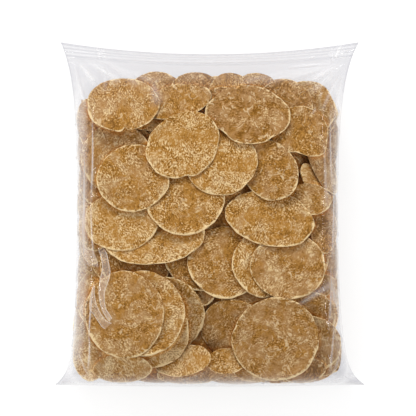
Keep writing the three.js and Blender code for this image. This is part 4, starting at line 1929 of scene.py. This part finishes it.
@dataclass(frozen=True)
class Studio:
    """A white, softly lit floor, and soft lamps on all sides."""

    floor_half: float = 4.0
    floor_depth: float = 0.0006
    floor_glow: float = 0.72
    floor_colour: float = 0.30
    floor_roughness: float = 0.9
    sky: float = 0.5
    horizon: float = 0.5  # what the film mirrors near the floor, and overhead
    zenith: float = 0.05
    climb: Pair = (0.2, 0.9)  # the upward parts between which one turns to the other
    lamps: tuple[Lamp, ...] = (
        Lamp("key_lamp", (-0.25, 1.2, 1.1), (0.7, 0.5), 14.5, mirrored=False),
        Lamp("left_box", (-1.4, 0.1, 0.75), (1.8, 0.8), 8.8, mirrored=False),
        Lamp("right_box", (1.4, 0.1, 0.75), (1.8, 0.8), 7.5, mirrored=False),
        Lamp("foot_box", (0.2, -1.4, 0.9), (1.6, 0.6), 3.0, mirrored=False),
        Lamp("left_strip", (-1.2, 0.1, 1.1), (1.5, 0.07), 4.0),
        Lamp("right_strip", (1.2, 0.1, 1.1), (1.5, 0.07), 4.0),
    )

    def floor(self) -> None:
        """The floor that the bag lies on. It glows a little, as a lit backdrop does."""
        h, d = self.floor_half, -self.floor_depth
        mesh = bpy.data.meshes.new("floor")
        corners = [(-h, -h, d), (h, -h, d), (h, h, d), (-h, h, d)]
        mesh.from_pydata(corners, [], [(0, 1, 2, 3)])
        floor = bpy.data.objects.new("floor", mesh)
        bpy.context.collection.objects.link(floor)
        material, n = new_material("white_floor")
        shader = n.add(
            "BsdfPrincipled",
            Base_Color=(self.floor_colour,) * 3,
            Roughness=self.floor_roughness,
            Emission_Color=(1, 1, 1),
            Emission_Strength=self.floor_glow,
        )
        n.add("OutputMaterial", Surface=shader.outputs[0])
        mesh.materials.append(material)

    def build(self) -> None:
        """Sets up the floor, the sky and the lamps."""
        self.floor()
        world = bpy.data.worlds.new("sky")
        world.use_nodes = True
        bpy.context.scene.world = world
        world.node_tree.nodes.clear()
        n = Nodes(world.node_tree)
        up = n.add("SeparateXYZ", Vector=n.add("NewGeometry").outputs["Normal"]).outputs[2]
        up = n.ramp(n.math("ABSOLUTE", up), *self.climb)
        mirrored = n.mix(up, (self.horizon,) * 3, (self.zenith,) * 3)
        glossy = n.add("LightPath").outputs["Is Glossy Ray"]
        sky = n.mix(glossy, (self.sky,) * 3, mirrored)
        background = n.add("Background", Color=sky, Strength=1.0)
        n.add("OutputWorld", Surface=background.outputs[0])
        for lamp in self.lamps:
            lamp.build()
        bpy.context.scene.view_settings.view_transform = "Standard"


def main() -> None:
    """Builds the bag, its papads and the studio, in order."""
    logging.basicConfig(level=logging.INFO, format="%(name)s %(message)s")
    heap = Heap()
    fine = PapadMesh(rings=16, spokes=132)
    coarse = PapadMesh(rings=8, spokes=60)
    shown = heap.shown()
    under = heap.fill(UNDER, heap.inner_lean)
    inner = heap.fill(INNER, heap.inner_lean)
    heap.open_around()
    around = heap.fill(AROUND, heap.around_lean)
    built = [
        fine.build("papads_front", shown[:30], heap),
        fine.build("papads_second", shown[30:60], heap),
        fine.build("papads_third", shown[60:], heap),
        coarse.build("papads_inner", inner, heap),
        coarse.build("papads_around", around, heap),
        coarse.build("papads_under", under, heap),
    ]
    papad = PapadFinish().material()
    for piece in built:
        piece.data.materials.append(papad)
    Film().build(heap)
    Studio().build()
    PHOTO.camera()


if __name__ == "__main__":
    main()
